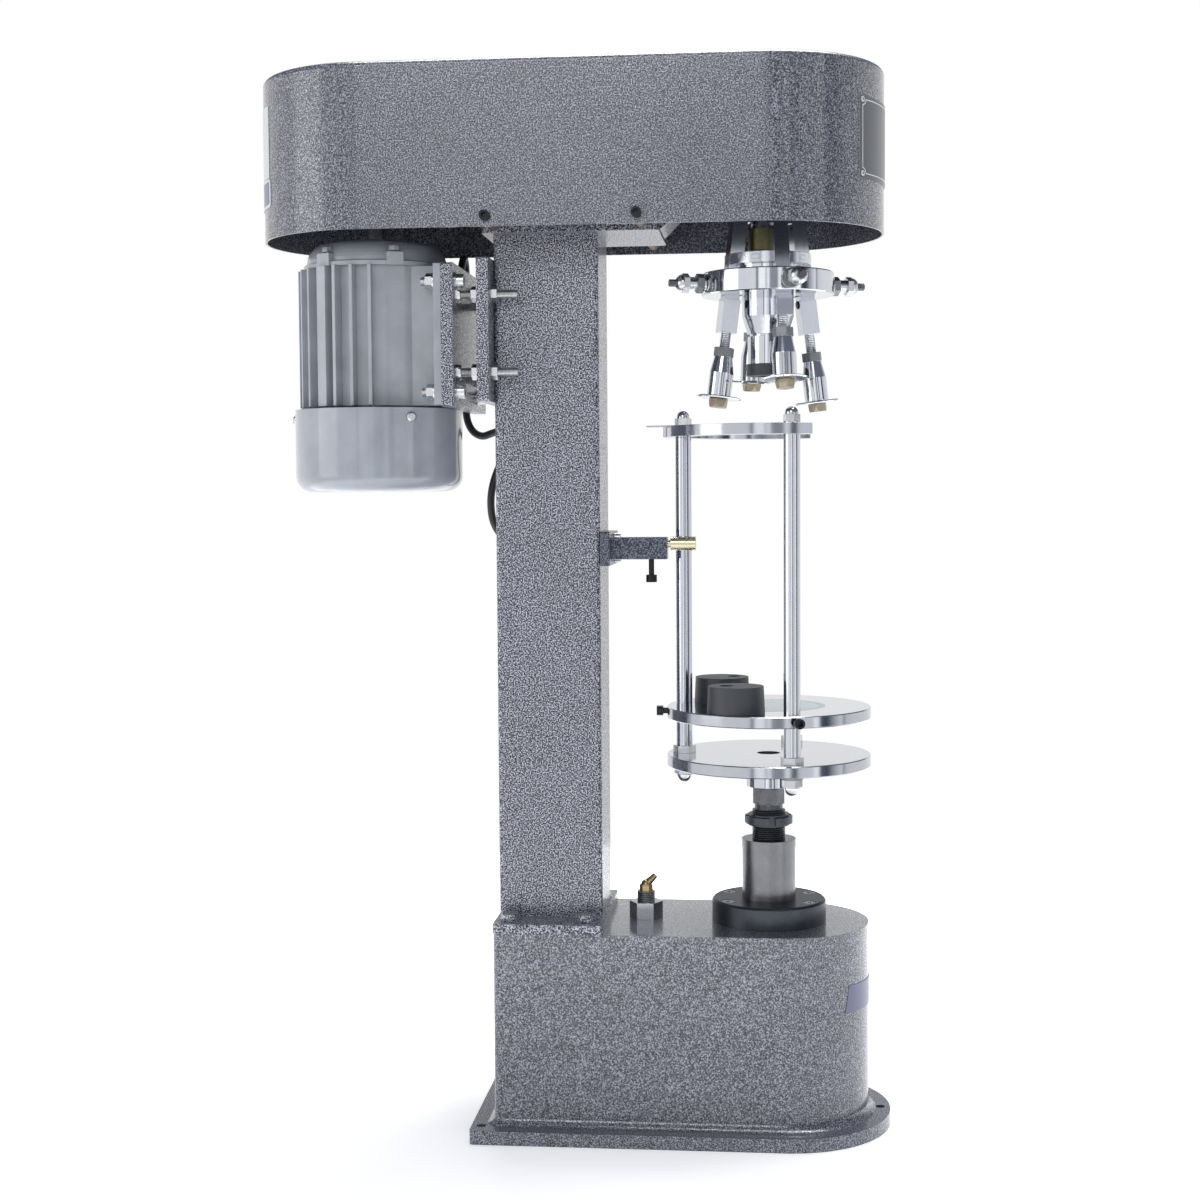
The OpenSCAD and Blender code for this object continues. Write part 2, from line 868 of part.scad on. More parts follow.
module motor_bolts() {
  draw_l = mount_t + mount_gap + 36;
  washer = 1.6;
  color("silver")
  union() {
    for (y = [-tension_y, tension_y])
      for (z = tension_zs)
        translate([motor_plate_x + 1, y, z])
          rotate([0, 90, 0]) {
            cylinder(r = tension_bolt_r - fit, h = draw_l);
            translate([0, 0, mount_t - 1])
              hex_head(13, 5.5);
          }
    for (y = [-foot_bolt_y, foot_bolt_y])
      for (z = foot_bolt_zs)
        translate([motor_plate_x, y, z])
          rotate([0, 90, 0]) {
            translate([0, 0, -foot_t_motor - washer - 11])
              cylinder(r = 4, h = foot_t_motor + washer + 11 + mount_t + eps);
            translate([0, 0, mount_t])
              cylinder(r = 8, h = washer);
            translate([0, 0, mount_t + washer - eps])
              difference() {
                cylinder(r = 6.5, h = foot_screw_h);
                translate([0, 0, foot_screw_h / 2])
                  hex_prism(6, foot_screw_h);
              }
            translate([0, 0, -foot_t_motor - washer])
              cylinder(r = 8, h = washer);
            translate([0, 0, -foot_t_motor - washer - 6.5])
              hex_prism(13, 6.5 + eps);
          }
  }
}

box_x = -motor_x - 8;
box_z = frame_z + 40;
box_w = 80;
box_h = 70;
box_d = 32;
box_neck_w = 42;
box_neck_h = 58;
box_gland_z = box_z + 59;

module terminal_box() {
  color("gray")
  difference() {
    union() {
      translate([box_x - 18, body_r - 4, box_z + (box_h - box_neck_h) / 2])
        cube([box_neck_w, fin_h + 6, box_neck_h]);
      translate([box_x - box_w / 2, fin_r + 1, box_z])
        rotate([-90, 0, 0])
          translate([0, -box_h, 0])
            linear_extrude(box_d)
              rounded_rect(0, 0, box_w, box_h, 5);
      translate([box_x + box_w / 2 - 1, box_gland_y, box_gland_z])
        rotate([0, 90, 0])
          hex_prism(17, 11);
    }
    translate([-motor_x, 0, frame_z - 1])
      cylinder(r = body_r + fit, h = frame_h + 2, $fn = 96);
    for (a = fin_turns)
      translate([-motor_x, 0, frame_z])
        rotate(a)
          translate([body_r - 3, -fin_t / 2 - free, -1])
            cube([fin_h + 3 + free, fin_t + 2 * free, frame_h + 2]);
    translate([box_x + box_w / 2 - 4, box_gland_y, box_gland_z])
      rotate([0, 90, 0])
        cylinder(r = 4, h = 20);
  }
}

module motor_shaft() {
  color("silver")
  translate([-motor_x, 0, 0])
    union() {
      translate([0, 0, motor_z + 16])
        cylinder(r = shaft_r, h = pulley_top + 3 - motor_z - 16);
      translate([0, 0, frame_z + 24])
        cylinder(r = body_r - 10, h = frame_h - 44);
    }
}

fan_hub_r = 18;
fan_r = 62;
fan_h = 34;

module cooling_fan() {
  fan_z = motor_z + 20;
  color("dimgray")
  translate([-motor_x, 0, fan_z])
    difference() {
      union() {
        cylinder(r = fan_hub_r, h = fan_h);
        translate([0, 0, fan_h - 6])
          cylinder(r = fan_r - 4, h = 3);
        for (a = [0 : 45 : 315])
          rotate(a)
            translate([fan_hub_r - 4, -1.25, 4])
              cube([fan_r - fan_hub_r + 4, 2.5, fan_h - 8]);
      }
      translate([0, 0, -1])
        cylinder(r = shaft_r + eps, h = fan_h + 2);
    }
}

module motor_pulley() {
  color("silver")
  translate([-motor_x, 0, pulley_z])
    pulley(motor_pulley_r, shaft_r + eps, pulley_w);
}

// Belt over the three pulleys

module belt_outline(extra) {
  hull() {
    circle(spindle_pulley_r - belt_seat + extra);
    translate([-column_x, 0])
      circle(lift_pulley_r - belt_seat + extra);
    translate([-motor_x, 0])
      circle(motor_pulley_r - belt_seat + extra);
  }
}

module drive_belt() {
  color("black")
  translate([0, 0, belt_z])
    linear_extrude(belt_w)
      difference() {
        belt_outline(belt_t + free, $fn = 48);
        belt_outline(free, $fn = 48);
      }
}

// Lift drive: shaft in the column, gearbox under it and a heart cam under the ram

gearbox_half = 44;
gearbox_back = 40;
gearbox_front = 46;
gearbox_front_x = -column_x + gearbox_front;
gearbox_z = 34;

module lift_gearbox() {
  color("dimgray")
  difference() {
    union() {
      translate([-column_x - gearbox_back, -gearbox_half, gearbox_z])
        cube([gearbox_back + gearbox_front, 2 * gearbox_half, ceiling_z - gearbox_z]);
      translate([gearbox_front_x - 1, 0, cam_z])
        rotate([0, 90, 0])
          cylinder(r = 26, h = 9);
    }
    translate([-column_x, 0, cam_z + 34])
      cylinder(r = lift_shaft_r + run, h = ceiling_z);
    translate([-column_x + 2, 0, cam_z])
      rotate([0, 90, 0])
        cylinder(r = cam_shaft_r + run, h = 60);
  }
}

module lift_shaft() {
  color("silver")
  translate([-column_x, 0, 0])
    union() {
      translate([0, 0, cam_z + 36])
        cylinder(r = lift_shaft_r, h = pulley_top + 2 - cam_z - 36);
      translate([0, 0, pulley_z])
        pulley(lift_pulley_r, lift_shaft_r - 1, pulley_w);
    }
}

// Path of the ram's nose round the cam: it rises evenly, so the profile is that
// path moved inwards by the nose's radius
cam_gap = free;
path_r = cam_r + cam_gap + nose_r;
path_slope = lift / PI;
function path_at(a) = path_r + lift * a / 180;
function cam_point(a) =
  let (p = path_at(a), n = sqrt(p * p + path_slope * path_slope), d = nose_r + cam_gap)
  [p * sin(a) - d * (p * sin(a) - path_slope * cos(a)) / n,
    p * cos(a) - d * (p * cos(a) + path_slope * sin(a)) / n];
cam_side = [for (a = [0 : 6 : 180]) if (cam_point(a)[0] > 0.2) cam_point(a)];
cam_dip = [0, path_r - nose_r - cam_gap];
cam_tip = [0, -path_at(180) + nose_r + cam_gap];

module cam_profile() {
  polygon(concat([cam_dip], cam_side, [cam_tip],
    [for (i = [len(cam_side) - 1 : -1 : 0]) [-cam_side[i][0], cam_side[i][1]]]));
}

module lift_cam() {
  cam_t = 14;
  color("silver")
  translate([0, 0, cam_z])
    union() {
      translate([-cam_t / 2, 0, 0])
        rotate([90, 0, 90])
          linear_extrude(cam_t)
            cam_profile();
      translate([-column_x + 4, 0, 0])
        rotate([0, 90, 0])
          cylinder(r = cam_shaft_r, h = column_x - 4 + hanger_x + hanger_t);
      translate([-cam_t / 2 - 10, 0, 0])
        rotate([0, 90, 0])
          cylinder(r = 17, h = 10 + eps);
    }
}

ram_foot = cam_z + path_r;
screw_in = 48;
screw_foot = ram_top - screw_in;

module ram() {
  color("darkgray")
  difference() {
    union() {
      translate([0, 0, ram_foot + 12])
        cylinder(r = ram_r, h = ram_top - ram_foot - 12, $fn = 96);
      translate([-9, -nose_r, ram_foot])
        cube([18, 2 * nose_r, 14]);
      translate([-9, 0, ram_foot])
        rotate([0, 90, 0])
          cylinder(r = nose_r, h = 18);
    }
    translate([0, 0, screw_foot - 10])
      cylinder(r = screw_r + run, h = ram_top);
  }
}

module lift_flange() {
  color("#202224")
  translate([0, 0, base_h])
    difference() {
      union() {
        cylinder(r = flange_r, h = flange_t - 2, $fn = 96);
        translate([0, 0, flange_t - 2 - eps])
          cylinder(r1 = flange_r, r2 = flange_r - 2, h = 2 + eps, $fn = 96);
        translate([0, 0, -20])
          cylinder(r = ram_r + 3 - fit, h = 20 + eps);
      }
      translate([0, 0, -21])
        cylinder(r = ram_r + run, h = flange_t + 22, $fn = 96);
      for (a = flange_screw_turns)
        rotate(a)
          translate([flange_screw_r, 0, -1]) {
            cylinder(r = 3 + fit, h = flange_t + 2);
            translate([0, 0, flange_t + 1 - 3.7])
              cylinder(r1 = 3 + fit, r2 = 6.8, h = 3.8);
          }
    }
}

module grease_fitting() {
  color("silver")
  translate([grease_x, 0, base_h])
    union() {
      hex_prism(28, 16);
      translate([0, 0, -base_wall])
        cylinder(r = grease_hole_r - fit, h = base_wall + eps);
      translate([0, 0, 16 - eps])
        cylinder(r = 8.5, h = 10);
      translate([0, 0, 26 - 2 * eps])
        hex_prism(11, 6);
      translate([0, 0, 32 - 3 * eps])
        sphere(r = 5);
      translate([0, 0, 32])
        rotate([0, 45, 0])
          cylinder(r1 = 4, r2 = 2.6, h = 13);
    }
}

// Stop arm on the column, which keeps the cage from turning

stop_plate_t = 9;
stop_plate_z = stop_z - 16;
stop_screw_places = [[10, stop_z - 9.5], [10, stop_z + 9.5]];
lock_screw_x = column_front_x + 46.5;
guide_rod_r = 4;
guide_z = stop_z + 4;
lock_head_z = stop_z - stop_s / 2 - 15;
lock_screw_l = guide_z - guide_rod_r - fit - lock_head_z;

module stop_bracket() {
  color("#2a2c30")
  difference() {
    union() {
      translate([column_front_x, -column_d / 2, stop_plate_z])
        rotate([90, 0, 90])
          linear_extrude(stop_plate_t)
            rounded_rect(0, 0, column_d, 32, 2);
      translate([column_front_x + stop_plate_t - eps, -stop_y, stop_z])
        rotate([90, 0, 90])
          linear_extrude(stop_reach - stop_plate_t)
            rounded_rect(-stop_s / 2, -stop_s / 2, stop_s / 2, stop_s / 2, 1.5);
    }
    translate([column_front_x + stop_plate_t + 8, -stop_y, guide_z])
      rotate([0, 90, 0])
        cylinder(r = guide_rod_r + run, h = stop_reach);
    translate([lock_screw_x, -stop_y, stop_z - stop_s])
      cylinder(r = 2.6 + fit, h = guide_z - stop_z + stop_s);
    for (p = stop_screw_places)
      translate([column_front_x - 1, p[0], p[1]])
        rotate([0, 90, 0])
          cylinder(r = 3 + fit, h = stop_plate_t + 2);
  }
}

guide_head_x = column_front_x + stop_reach + 3;

module guide_pin() {
  color("goldenrod")
  translate([guide_head_x, -stop_y, guide_z])
    rotate([0, 90, 0])
      union() {
        cylinder(r = guide_pin_r, h = 24);
        translate([0, 0, -38])
          cylinder(r = guide_rod_r, h = 38 + eps);
      }
}

// Capping head

core_bore_r = presser_r + run;
slot_half = lever_s / 2 + free;
// The lever's slot runs from the closed lever's inner face to the open lever's outer face
slot_in = pivot_r + (pivot_z - ring_top) * tan(lever_lean - 6) - lever_s / 2 - free;
slot_out = pivot_r + (pivot_z - ring_z) * tan(lever_lean) + lever_s / 2 + 2 * free;
stem_r = 8;

module spindle() {
  color("silver")
  difference() {
    union() {
      translate([0, 0, carrier_z - 6])
        cylinder(r = 21, h = 6);
      translate([0, 0, carrier_z - 1])
        cylinder(r = spindle_r, h = pulley_top + 6 - carrier_z + 1);
    }
    translate([0, 0, carrier_z - 7])
      cylinder(r = stem_r + run, h = 80);
    translate([-spindle_r - 1, -3.4, spreader_z + 2])
      cube([2 * spindle_r + 2, 6.8, 14 + presser_travel]);
  }
}

module spindle_pulley() {
  color("silver")
  translate([0, 0, pulley_z])
    pulley(spindle_pulley_r, spindle_r + eps, pulley_w);
}

module lever_carrier() {
  color("silver")
  difference() {
    translate([0, 0, carrier_z])
      cylinder(r = carrier_r, h = carrier_t, $fn = 96);
    translate([0, 0, carrier_z - 1])
      cylinder(r = spindle_r + eps, h = carrier_t + 2);
    for (a = lever_turns)
      rotate(a) {
        translate([pivot_r - lever_s / 2 - 1.2, -slot_half, carrier_z - 1])
          cube([carrier_r, 2 * slot_half, carrier_t + 2]);
        translate([pivot_r, carrier_r, pivot_z])
          rotate([90, 0, 0])
            cylinder(r = lever_pin_r + eps, h = 2 * carrier_r);
      }
  }
}

module lever_ring() {
  color("silver")
  difference() {
    union() {
      translate([0, 0, ring_z + 1])
        cylinder(r = ring_r, h = ring_t - 2, $fn = 128);
      for (z = [ring_z, ring_top - 1])
        translate([0, 0, z])
          cylinder(r1 = ring_r - (z == ring_z ? 1 : 0), r2 = ring_r - (z == ring_z ? 0 : 1),
            h = 1, $fn = 128);
      translate([0, 0, ring_top - eps])
        cylinder(r = 34, h = carrier_z - ring_top + eps);
    }
    translate([0, 0, ring_z - 1])
      cylinder(r = core_bore_r, h = ring_t + 20, $fn = 96);
    for (a = lever_turns)
      rotate(a) {
        translate([slot_in, -slot_half, ring_z - 1])
          cube([slot_out - slot_in, 2 * slot_half, ring_t + 20]);
        translate([slot_out - 1, 0, ring_z + ring_t / 2])
          rotate([0, 90, 0])
            cylinder(r = 4.5 + fit, h = ring_r);
      }
  }
}

module lever_pins() {
  color("silver")
  intersection() {
    for (a = lever_turns)
      rotate(a)
        translate([pivot_r, carrier_r, pivot_z])
          rotate([90, 0, 0])
            cylinder(r = lever_pin_r, h = 2 * carrier_r);
    translate([0, 0, carrier_z])
      cylinder(r = carrier_r - eps, h = carrier_t, $fn = 96);
  }
}

stud_nut_x = ring_r + 16;

module spring_studs() {
  color("silver")
  for (a = lever_turns)
    rotate(a)
      translate([0, 0, ring_z + ring_t / 2])
        rotate([0, 90, 0])
          union() {
            translate([0, 0, slot_out + 0.2])
              cylinder(r = 4.5, h = stud_nut_x + 3 - slot_out - 0.2);
            translate([0, 0, ring_r])
              cylinder(r = 9, h = 2);
            translate([0, 0, ring_r + 2])
              hex_prism(16, 6);
            translate([0, 0, ring_r + 7])
              cylinder(r = 6, h = stud_nut_x - ring_r - 6);
            translate([0, 0, stud_nut_x])
              hex_prism(16, 5.5);
            translate([0, 0, stud_nut_x + 4])
              intersection() {
                cylinder(r = 8.1, h = 9);
                sphere(r = 8.6);
              }
            translate([0, 0, stud_nut_x + 11])
              hex_prism(6, 7.5);
          }
}

presser_top = ring_top - presser_travel - 3;
presser_cone_z = ring_z - 19.5;
presser_neck_top = presser_cone_z - 17;
presser_z = presser_neck_top - presser_neck_h;
spreader_z = carrier_top + 4;
spreader_r = 18.5;

module presser() {
  color("silver")
  union() {
    translate([0, 0, presser_cone_z - eps])
      cylinder(r = presser_r, h = presser_top - presser_cone_z, $fn = 96);
    translate([0, 0, presser_neck_top])
      cylinder(r1 = presser_neck_r, r2 = presser_r, h = presser_cone_z - presser_neck_top,
        $fn = 96);
    translate([0, 0, presser_z + presser_neck_h - 2.5])
      cylinder(r = presser_neck_r - 2, h = 4);
    translate([0, 0, presser_z])
      cylinder(r = presser_neck_r, h = presser_neck_h - 2, $fn = 96);
    translate([0, 0, presser_top - 1])
      cylinder(r = stem_r, h = spreader_z + 14 - presser_top);
    translate([-spreader_r + 3, 0, spreader_z + 8])
      rotate([0, 90, 0])
        cylinder(r = 3, h = 2 * spreader_r - 6);
    translate([0, 0, presser_z - tip_h + 4])
      cylinder(r = 5, h = tip_h);
  }
}

module rubber_tip() {
  color("#222222")
  translate([0, 0, presser_z - tip_h])
    difference() {
      cylinder(r = tip_r, h = tip_h, $fn = 96);
      translate([0, 0, -1])
        cylinder(r = 5 + eps, h = tip_h + 2);
      translate([0, 0, -1])
        cylinder(r = 9, h = 4);
    }
}

module spreader() {
  color("darkkhaki")
  translate([0, 0, spreader_z])
    difference() {
      union() {
        cylinder(r = spreader_r, h = 20);
        translate([0, 0, 20 - eps])
          cylinder(r1 = spreader_r, r2 = spreader_r - 4.6, h = 10);
      }
      translate([0, 0, -1])
        cylinder(r = spindle_r + run, h = 40);
      translate([-spreader_r - 1, 0, 8])
        rotate([0, 90, 0])
          cylinder(r = 3 + eps, h = 2 * spreader_r + 2);
    }
}

// Levers. Each is drawn upright with its pin at the origin, then leaned and turned

module at_lever(k) {
  rotate(lever_turns[k])
    translate([pivot_r, 0, pivot_z])
      rotate([0, -lever_lean, 0])
        children();
}

heel_x = -10.5;
heel_z = 39.5;
heel_r = 3;
function lever_foot(k) = lever_down - lever_steps[k];
function nut_top(k) = lever_down + rod_gap - roller_steps[k];
nut_h = 8.5;
function holder_top(k) = nut_top(k) + nut_h;
function holder_bottom(k) = holder_top(k) + holder_h;
bolt_h = 8;

module lever(k) {
  foot = lever_foot(k);
  block_h = foot - (pivot_z - ring_z) / cos(lever_lean) - 4;
  color("silver")
  at_lever(k)
    difference() {
      union() {
        translate([-lever_s / 2, -lever_s / 2, -foot + 2])
          cube([lever_s, lever_s, foot + lever_up - 2]);
        translate([-lever_block_s / 2, -lever_block_s / 2, -foot])
          cube([lever_block_s, lever_block_s, block_h]);
        translate([heel_x, -lever_s / 2 + 1, heel_z - heel_r])
          cube([-heel_x, lever_s - 2, 2 * heel_r]);
        translate([heel_x, lever_s / 2 - 1, heel_z])
          rotate([90, 0, 0])
            cylinder(r = heel_r, h = lever_s - 2);
        translate([0, 0, -holder_top(k) - 12])
          cylinder(r = rod_r, h = holder_top(k) + 12 - foot + 1);
      }
      translate([0, lever_s, 0])
        rotate([90, 0, 0])
          cylinder(r = lever_pin_r + run, h = 2 * lever_s);
    }
}

// Roller holder with its lock nut above and the roller's bolt below
module holder(k) {
  color("silver")
  at_lever(k) {
    translate([0, 0, -holder_top(k)])
      hex_nut(17, nut_h - fit, rod_r + fit);
    translate([0, 0, -holder_bottom(k)])
      difference() {
        union() {
          cylinder(r = holder_foot_r, h = 22, $fn = 48);
          translate([0, 0, 22 - eps])
            cylinder(r1 = holder_foot_r, r2 = holder_top_r, h = holder_h - 22, $fn = 48);
        }
        translate([0, 0, holder_h - 16])
          cylinder(r = rod_r + fit, h = 17);
      }
    translate([0, 0, -holder_bottom(k) - roller_t - 2 * free])
      cylinder(r = 5, h = roller_t + 2 * free + eps);
    translate([0, 0, -holder_bottom(k) - roller_t - 2 * free - bolt_h + eps])
      rotate([180, 0, 0])
        translate([0, 0, -bolt_h])
          hex_head(16, bolt_h);
  }
}

module roller(k) {
  edge = roller_t / 2;
  color("silver")
  at_lever(k)
    translate([0, 0, -holder_bottom(k) - roller_t - free])
      difference() {
        union() {
          cylinder(r = roller_r - 2, h = roller_t, $fn = 96);
          cylinder(r1 = roller_r - 2, r2 = roller_r, h = edge, $fn = 96);
          translate([0, 0, edge])
            cylinder(r1 = roller_r, r2 = roller_r - 2, h = edge, $fn = 96);
        }
        translate([0, 0, -1])
          cylinder(r = 5 + run, h = roller_t + 2);
      }
}

module lever_left() { lever(0); }
module lever_near() { lever(1); }
module lever_right() { lever(2); }
module lever_far() { lever(3); }
module holder_left() { holder(0); }
module holder_near() { holder(1); }
module holder_right() { holder(2); }
module holder_far() { holder(3); }
module roller_left() { roller(0); }
module roller_near() { roller(1); }
module roller_right() { roller(2); }
module roller_far() { roller(3); }

// Bottle cage

table_top = table_z + plate_t;
locating_z = table_z + plate_gap;
locating_top = locating_z + plate_t;
cage_ring_z = table_z + cage_h;
cage_ring_top = cage_ring_z + cage_ring_t;
post_turns = [180, post_angle, -post_angle];
post_step_r = post_r - 1.5;
stud_r = 4;
jam_h = 7;
hub_h = 20.7;

module table_screw() {
  color("gray")
  union() {
    translate([0, 0, screw_foot])
      cylinder(r = screw_r, h = table_z - hub_h - 23 - screw_foot);
    translate([0, 0, table_z - hub_h - 24])
      cylinder(r = screw_r - 2.4, h = 8);
    translate([0, 0, table_z - hub_h - 17.5])
      hex_prism(26, 15.5);
    translate([0, 0, table_z - hub_h - 2.5])
      cylinder(r = screw_r - 2.6, h = 3);
    translate([0, 0, table_z - hub_h])
      cylinder(r = hub_r, h = hub_h);
    translate([0, 0, table_z - eps])
      cylinder(r = 11, h = 4);
  }
}

nut_gap = 13.2;
lock_nut_z = ram_top + nut_gap;
lock_nut_h = 11;
hub_r = 21.5;

module lock_nut() {
  color("dimgray")
  difference() {
    translate([0, 0, lock_nut_z])
      union() {
        cylinder(r = 19.5, h = lock_nut_h);
        translate([0, 0, 2])
          cylinder(r = 22.8, h = lock_nut_h - 4);
      }
    translate([0, 0, lock_nut_z - 1])
      cylinder(r = screw_r + fit, h = lock_nut_h + 2);
    for (a = [10 : 90 : 280])
      rotate(a)
        translate([19.5, -3, lock_nut_z - 1])
          cube([5, 6, lock_nut_h + 2]);
  }
}

module round_plate(z) {
  translate([0, 0, z]) {
    translate([0, 0, 0.8])
      cylinder(r = plate_r, h = plate_t - 1.6, $fn = 128);
    cylinder(r1 = plate_r - 0.8, r2 = plate_r, h = 0.8 + eps, $fn = 128);
    translate([0, 0, plate_t - 0.8 - eps])
      cylinder(r1 = plate_r, r2 = plate_r - 0.8, h = 0.8 + eps, $fn = 128);
  }
}

module at_posts() {
  for (a = post_turns)
    rotate(a)
      translate([post_circle_r, 0, 0])
        children();
}

module table_plate() {
  color("silver")
  difference() {
    round_plate(table_z);
    translate([0, 0, table_z - 1])
      cylinder(r = 11 + fit, h = plate_t + 2);
    at_posts()
      translate([0, 0, table_z - 1])
        cylinder(r = post_step_r + fit, h = plate_t + 2);
  }
}

module posts() {
  color("silver")
  at_posts() {
    translate([0, 0, table_top + jam_h])
      cylinder(r = post_r, h = cage_ring_z - table_top - jam_h);
    translate([0, 0, table_z - 8])
      cylinder(r = post_step_r, h = plate_t + 9 + jam_h);
    translate([0, 0, cage_ring_z - 1])
      cylinder(r = stud_r, h = cage_ring_t + 7 + 1);
  }
}

module acorn_nut(across_flats, bore_r) {
  dome_d = 0.9 * across_flats;
  difference() {
    union() {
      hex_prism(across_flats, 6.5);
      translate([0, 0, 6.5 - eps])
        cylinder(d = dome_d, h = 1);
      translate([0, 0, 7.5 - 2 * eps])
        intersection() {
          sphere(d = dome_d);
          cylinder(d = across_flats, h = across_flats);
        }
    }
    translate([0, 0, -1])
      cylinder(r = bore_r + fit, h = 9);
  }
}

module post_nuts() {
  color("silver")
  at_posts() {
    translate([0, 0, table_top])
      hex_nut(19, jam_h, post_step_r + fit);
    translate([0, 0, table_z])
      rotate([180, 0, 0]) {
        tube(9.8, post_step_r + fit, 3);
        translate([0, 0, 3])
          acorn_nut(17, post_step_r);
      }
    translate([0, 0, cage_ring_top + 1.5])
      acorn_nut(14, stud_r);
  }
}

module cage_ring() {
  color("silver")
  difference() {
    union() {
      translate([0, 0, cage_ring_z])
        difference() {
          union() {
            cylinder(r = plate_r, h = cage_ring_t, $fn = 128);
            translate([-plate_r - 2, -12, 0])
              cube([30, 24, cage_ring_t]);
          }
          translate([0, 0, -1])
            cylinder(r = cage_ring_in, h = cage_ring_t + 2, $fn = 128);
          translate([cage_ring_cut, -plate_r - 1, -1])
            cube([plate_r, 2 * plate_r + 2, cage_ring_t + 2]);
        }
      // Thin pointed plate that the rear post's nut holds, and washers at the front posts
      translate([0, 0, cage_ring_top - eps])
        linear_extrude(1.5)
          polygon([[-116, -3], [-75, -18], [-74, 0], [-80, 12], [-96, 10], [-116, 0]]);
      for (a = [post_angle, -post_angle])
        rotate(a)
          translate([post_circle_r, 0, cage_ring_top - eps])
            cylinder(r = 8, h = 1.5);
    }
    at_posts()
      translate([0, 0, cage_ring_z - 1])
        cylinder(r = stud_r + fit, h = cage_ring_t + 4);
  }
}

module locating_plate() {
  color("silver")
  difference() {
    round_plate(locating_z);
    translate([0, 0, locating_top - insert_t])
      cylinder(r = insert_r + fit, h = insert_t + 1, $fn = 96);
    at_posts() {
      translate([0, 0, locating_z - 1])
        cylinder(r = post_r + run, h = plate_t + 2);
      translate([post_r - 1, 0, locating_z + plate_t / 2])
        rotate([0, 90, 0])
          cylinder(r = 3, h = 20);
    }
  }
}

module plate_insert() {
  color("honeydew")
  translate([0, 0, locating_top - insert_t])
    cylinder(r = insert_r, h = insert_t, $fn = 96);
}

module clamp_screws() {
  shank = plate_r - post_circle_r - post_r - free;
  out = 4;
  color("#202020")
  at_posts()
    translate([plate_r - post_circle_r + out, 0, locating_z + plate_t / 2])
      rotate([0, 90, 0])
        socket_screw(6, shank + out);
}

// Place of each loose pad, and place of its hole with the pad's turn
pad_places = [[-29.5, -62], [-45.5, 27]];
pad_holes = [[-9, 0], [12, 20]];
pad_hole_r = 6.5;

module rubber_pad(i) {
  translate([pad_places[i][0], pad_places[i][1], locating_top])
    rotate(pad_holes[i][1])
      difference() {
        cylinder(r1 = pad_r, r2 = pad_r - 1.2, h = pad_h, $fn = 96);
        translate([pad_holes[i][0], 0, -1])
          cylinder(r = pad_hole_r, h = pad_h + 2);
      }
}

module rubber_pads() {
  color("#1c1c1c")
  union() {
    rubber_pad(0);
    rubber_pad(1);
  }
}

// The lead from the motor's box to the column, swept along points chosen by hand

box_gland_y = 94;
gland_x = -column_x - 20;
gland_z = 548;
gland_r = 6;
lead_r = 3.8;
lead_sides = 8;
lead_points = [[-342, 94, 790], [-332, 94, 790], [-322, 90, 796], [-314, 84, 808], [-310, 80, 822],
  [-308, 79, 834], [-307, 83, 843], [-307, 91, 845], [-307, 98, 839], [-307, 101, 826],
  [-307, 102, 806], [-307, 102, 780], [-308, 101, 750], [-308, 99, 720], [-308, 96, 698],
  [-306, 94, 682], [-300, 92, 671], [-290, 88, 666], [-278, 83, 669], [-267, 75, 671],
  [-259, 66, 664], [-260, 59, 650], [-268, 54, 634], [-274, 52, 616], [-276, 51, 598],
  [-274, 53, 580], [-267, 58, 566], [-256, 65, 556], [-243, 70, 550], [-232, 69, 548],
  [-227, 62, 548], [-227, 52, 548], [-227, 44, 548]];

function unit(v) = v / norm(v);
function lead_along(i) =
  unit(lead_points[min(i + 1, len(lead_points) - 1)] - lead_points[max(i - 1, 0)]);
// Each ring keeps the turn of the ring before it
function lead_side(i) = i == 0 ? unit(cross(lead_along(0), [0, 1, 0.3]))
  : let (t = lead_along(i), s = lead_side(i - 1)) unit(s - (s * t) * t);
function lead_ring(i) =
  let (s = lead_side(i), u = cross(s, lead_along(i)))
  [for (j = [0 : lead_sides - 1]) lead_points[i]
    + lead_r * (cos(360 * j / lead_sides) * s + sin(360 * j / lead_sides) * u)];

module motor_cable() {
  n = len(lead_points);
  m = lead_sides;
  points = [for (i = [0 : n - 1]) each lead_ring(i)];
  sides = [for (i = [0 : n - 2], j = [0 : m - 1])
    [i * m + j, i * m + (j + 1) % m, (i + 1) * m + (j + 1) % m, (i + 1) * m + j]];
  start = [[for (j = [m - 1 : -1 : 0]) j]];
  end = [[for (j = [0 : m - 1]) (n - 1) * m + j]];
  color("#151515")
    polyhedron(points, concat(sides, start, end));
}

module cable_gland() {
  color("#202020")
  translate([gland_x, column_d / 2, gland_z])
    rotate([-90, 0, 0])
      difference() {
        union() {
          hex_prism(19, 7);
          cylinder(r = 7, h = 12);
          translate([0, 0, -column_wall])
            cylinder(r = gland_r - fit, h = column_wall + eps);
        }
        translate([0, 0, -column_wall - 1])
          cylinder(r = lead_r + 0.2, h = column_wall + 14);
      }
}

base_casting();
column();
base_bolts();
spindle_arm();
hood();
frame_screws();
spindle_bearings();
column_plate();
tension_nuts();
lift_flange();
grease_fitting();
stop_bracket();
motor_cable();
cable_gland();
drive_belt();
lift_gearbox();
motor_frame();
motor_end_shield();
fan_cowl();
motor_plate();
motor_bolts();
terminal_box();
motor_shaft();
cooling_fan();
motor_pulley();
lift_shaft();
lift_cam();
spindle();
spindle_pulley();
lever_carrier();
lever_ring();
lever_pins();
spring_studs();
presser();
spreader();
rubber_tip();
lever_left();
lever_near();
lever_right();
lever_far();
holder_left();
holder_near();
holder_right();
holder_far();
roller_left();
roller_near();
roller_right();
roller_far();
ram();
table_screw();
lock_nut();
table_plate();
posts();
post_nuts();
cage_ring();
locating_plate();
plate_insert();
clamp_screws();
rubber_pads();
guide_pin();
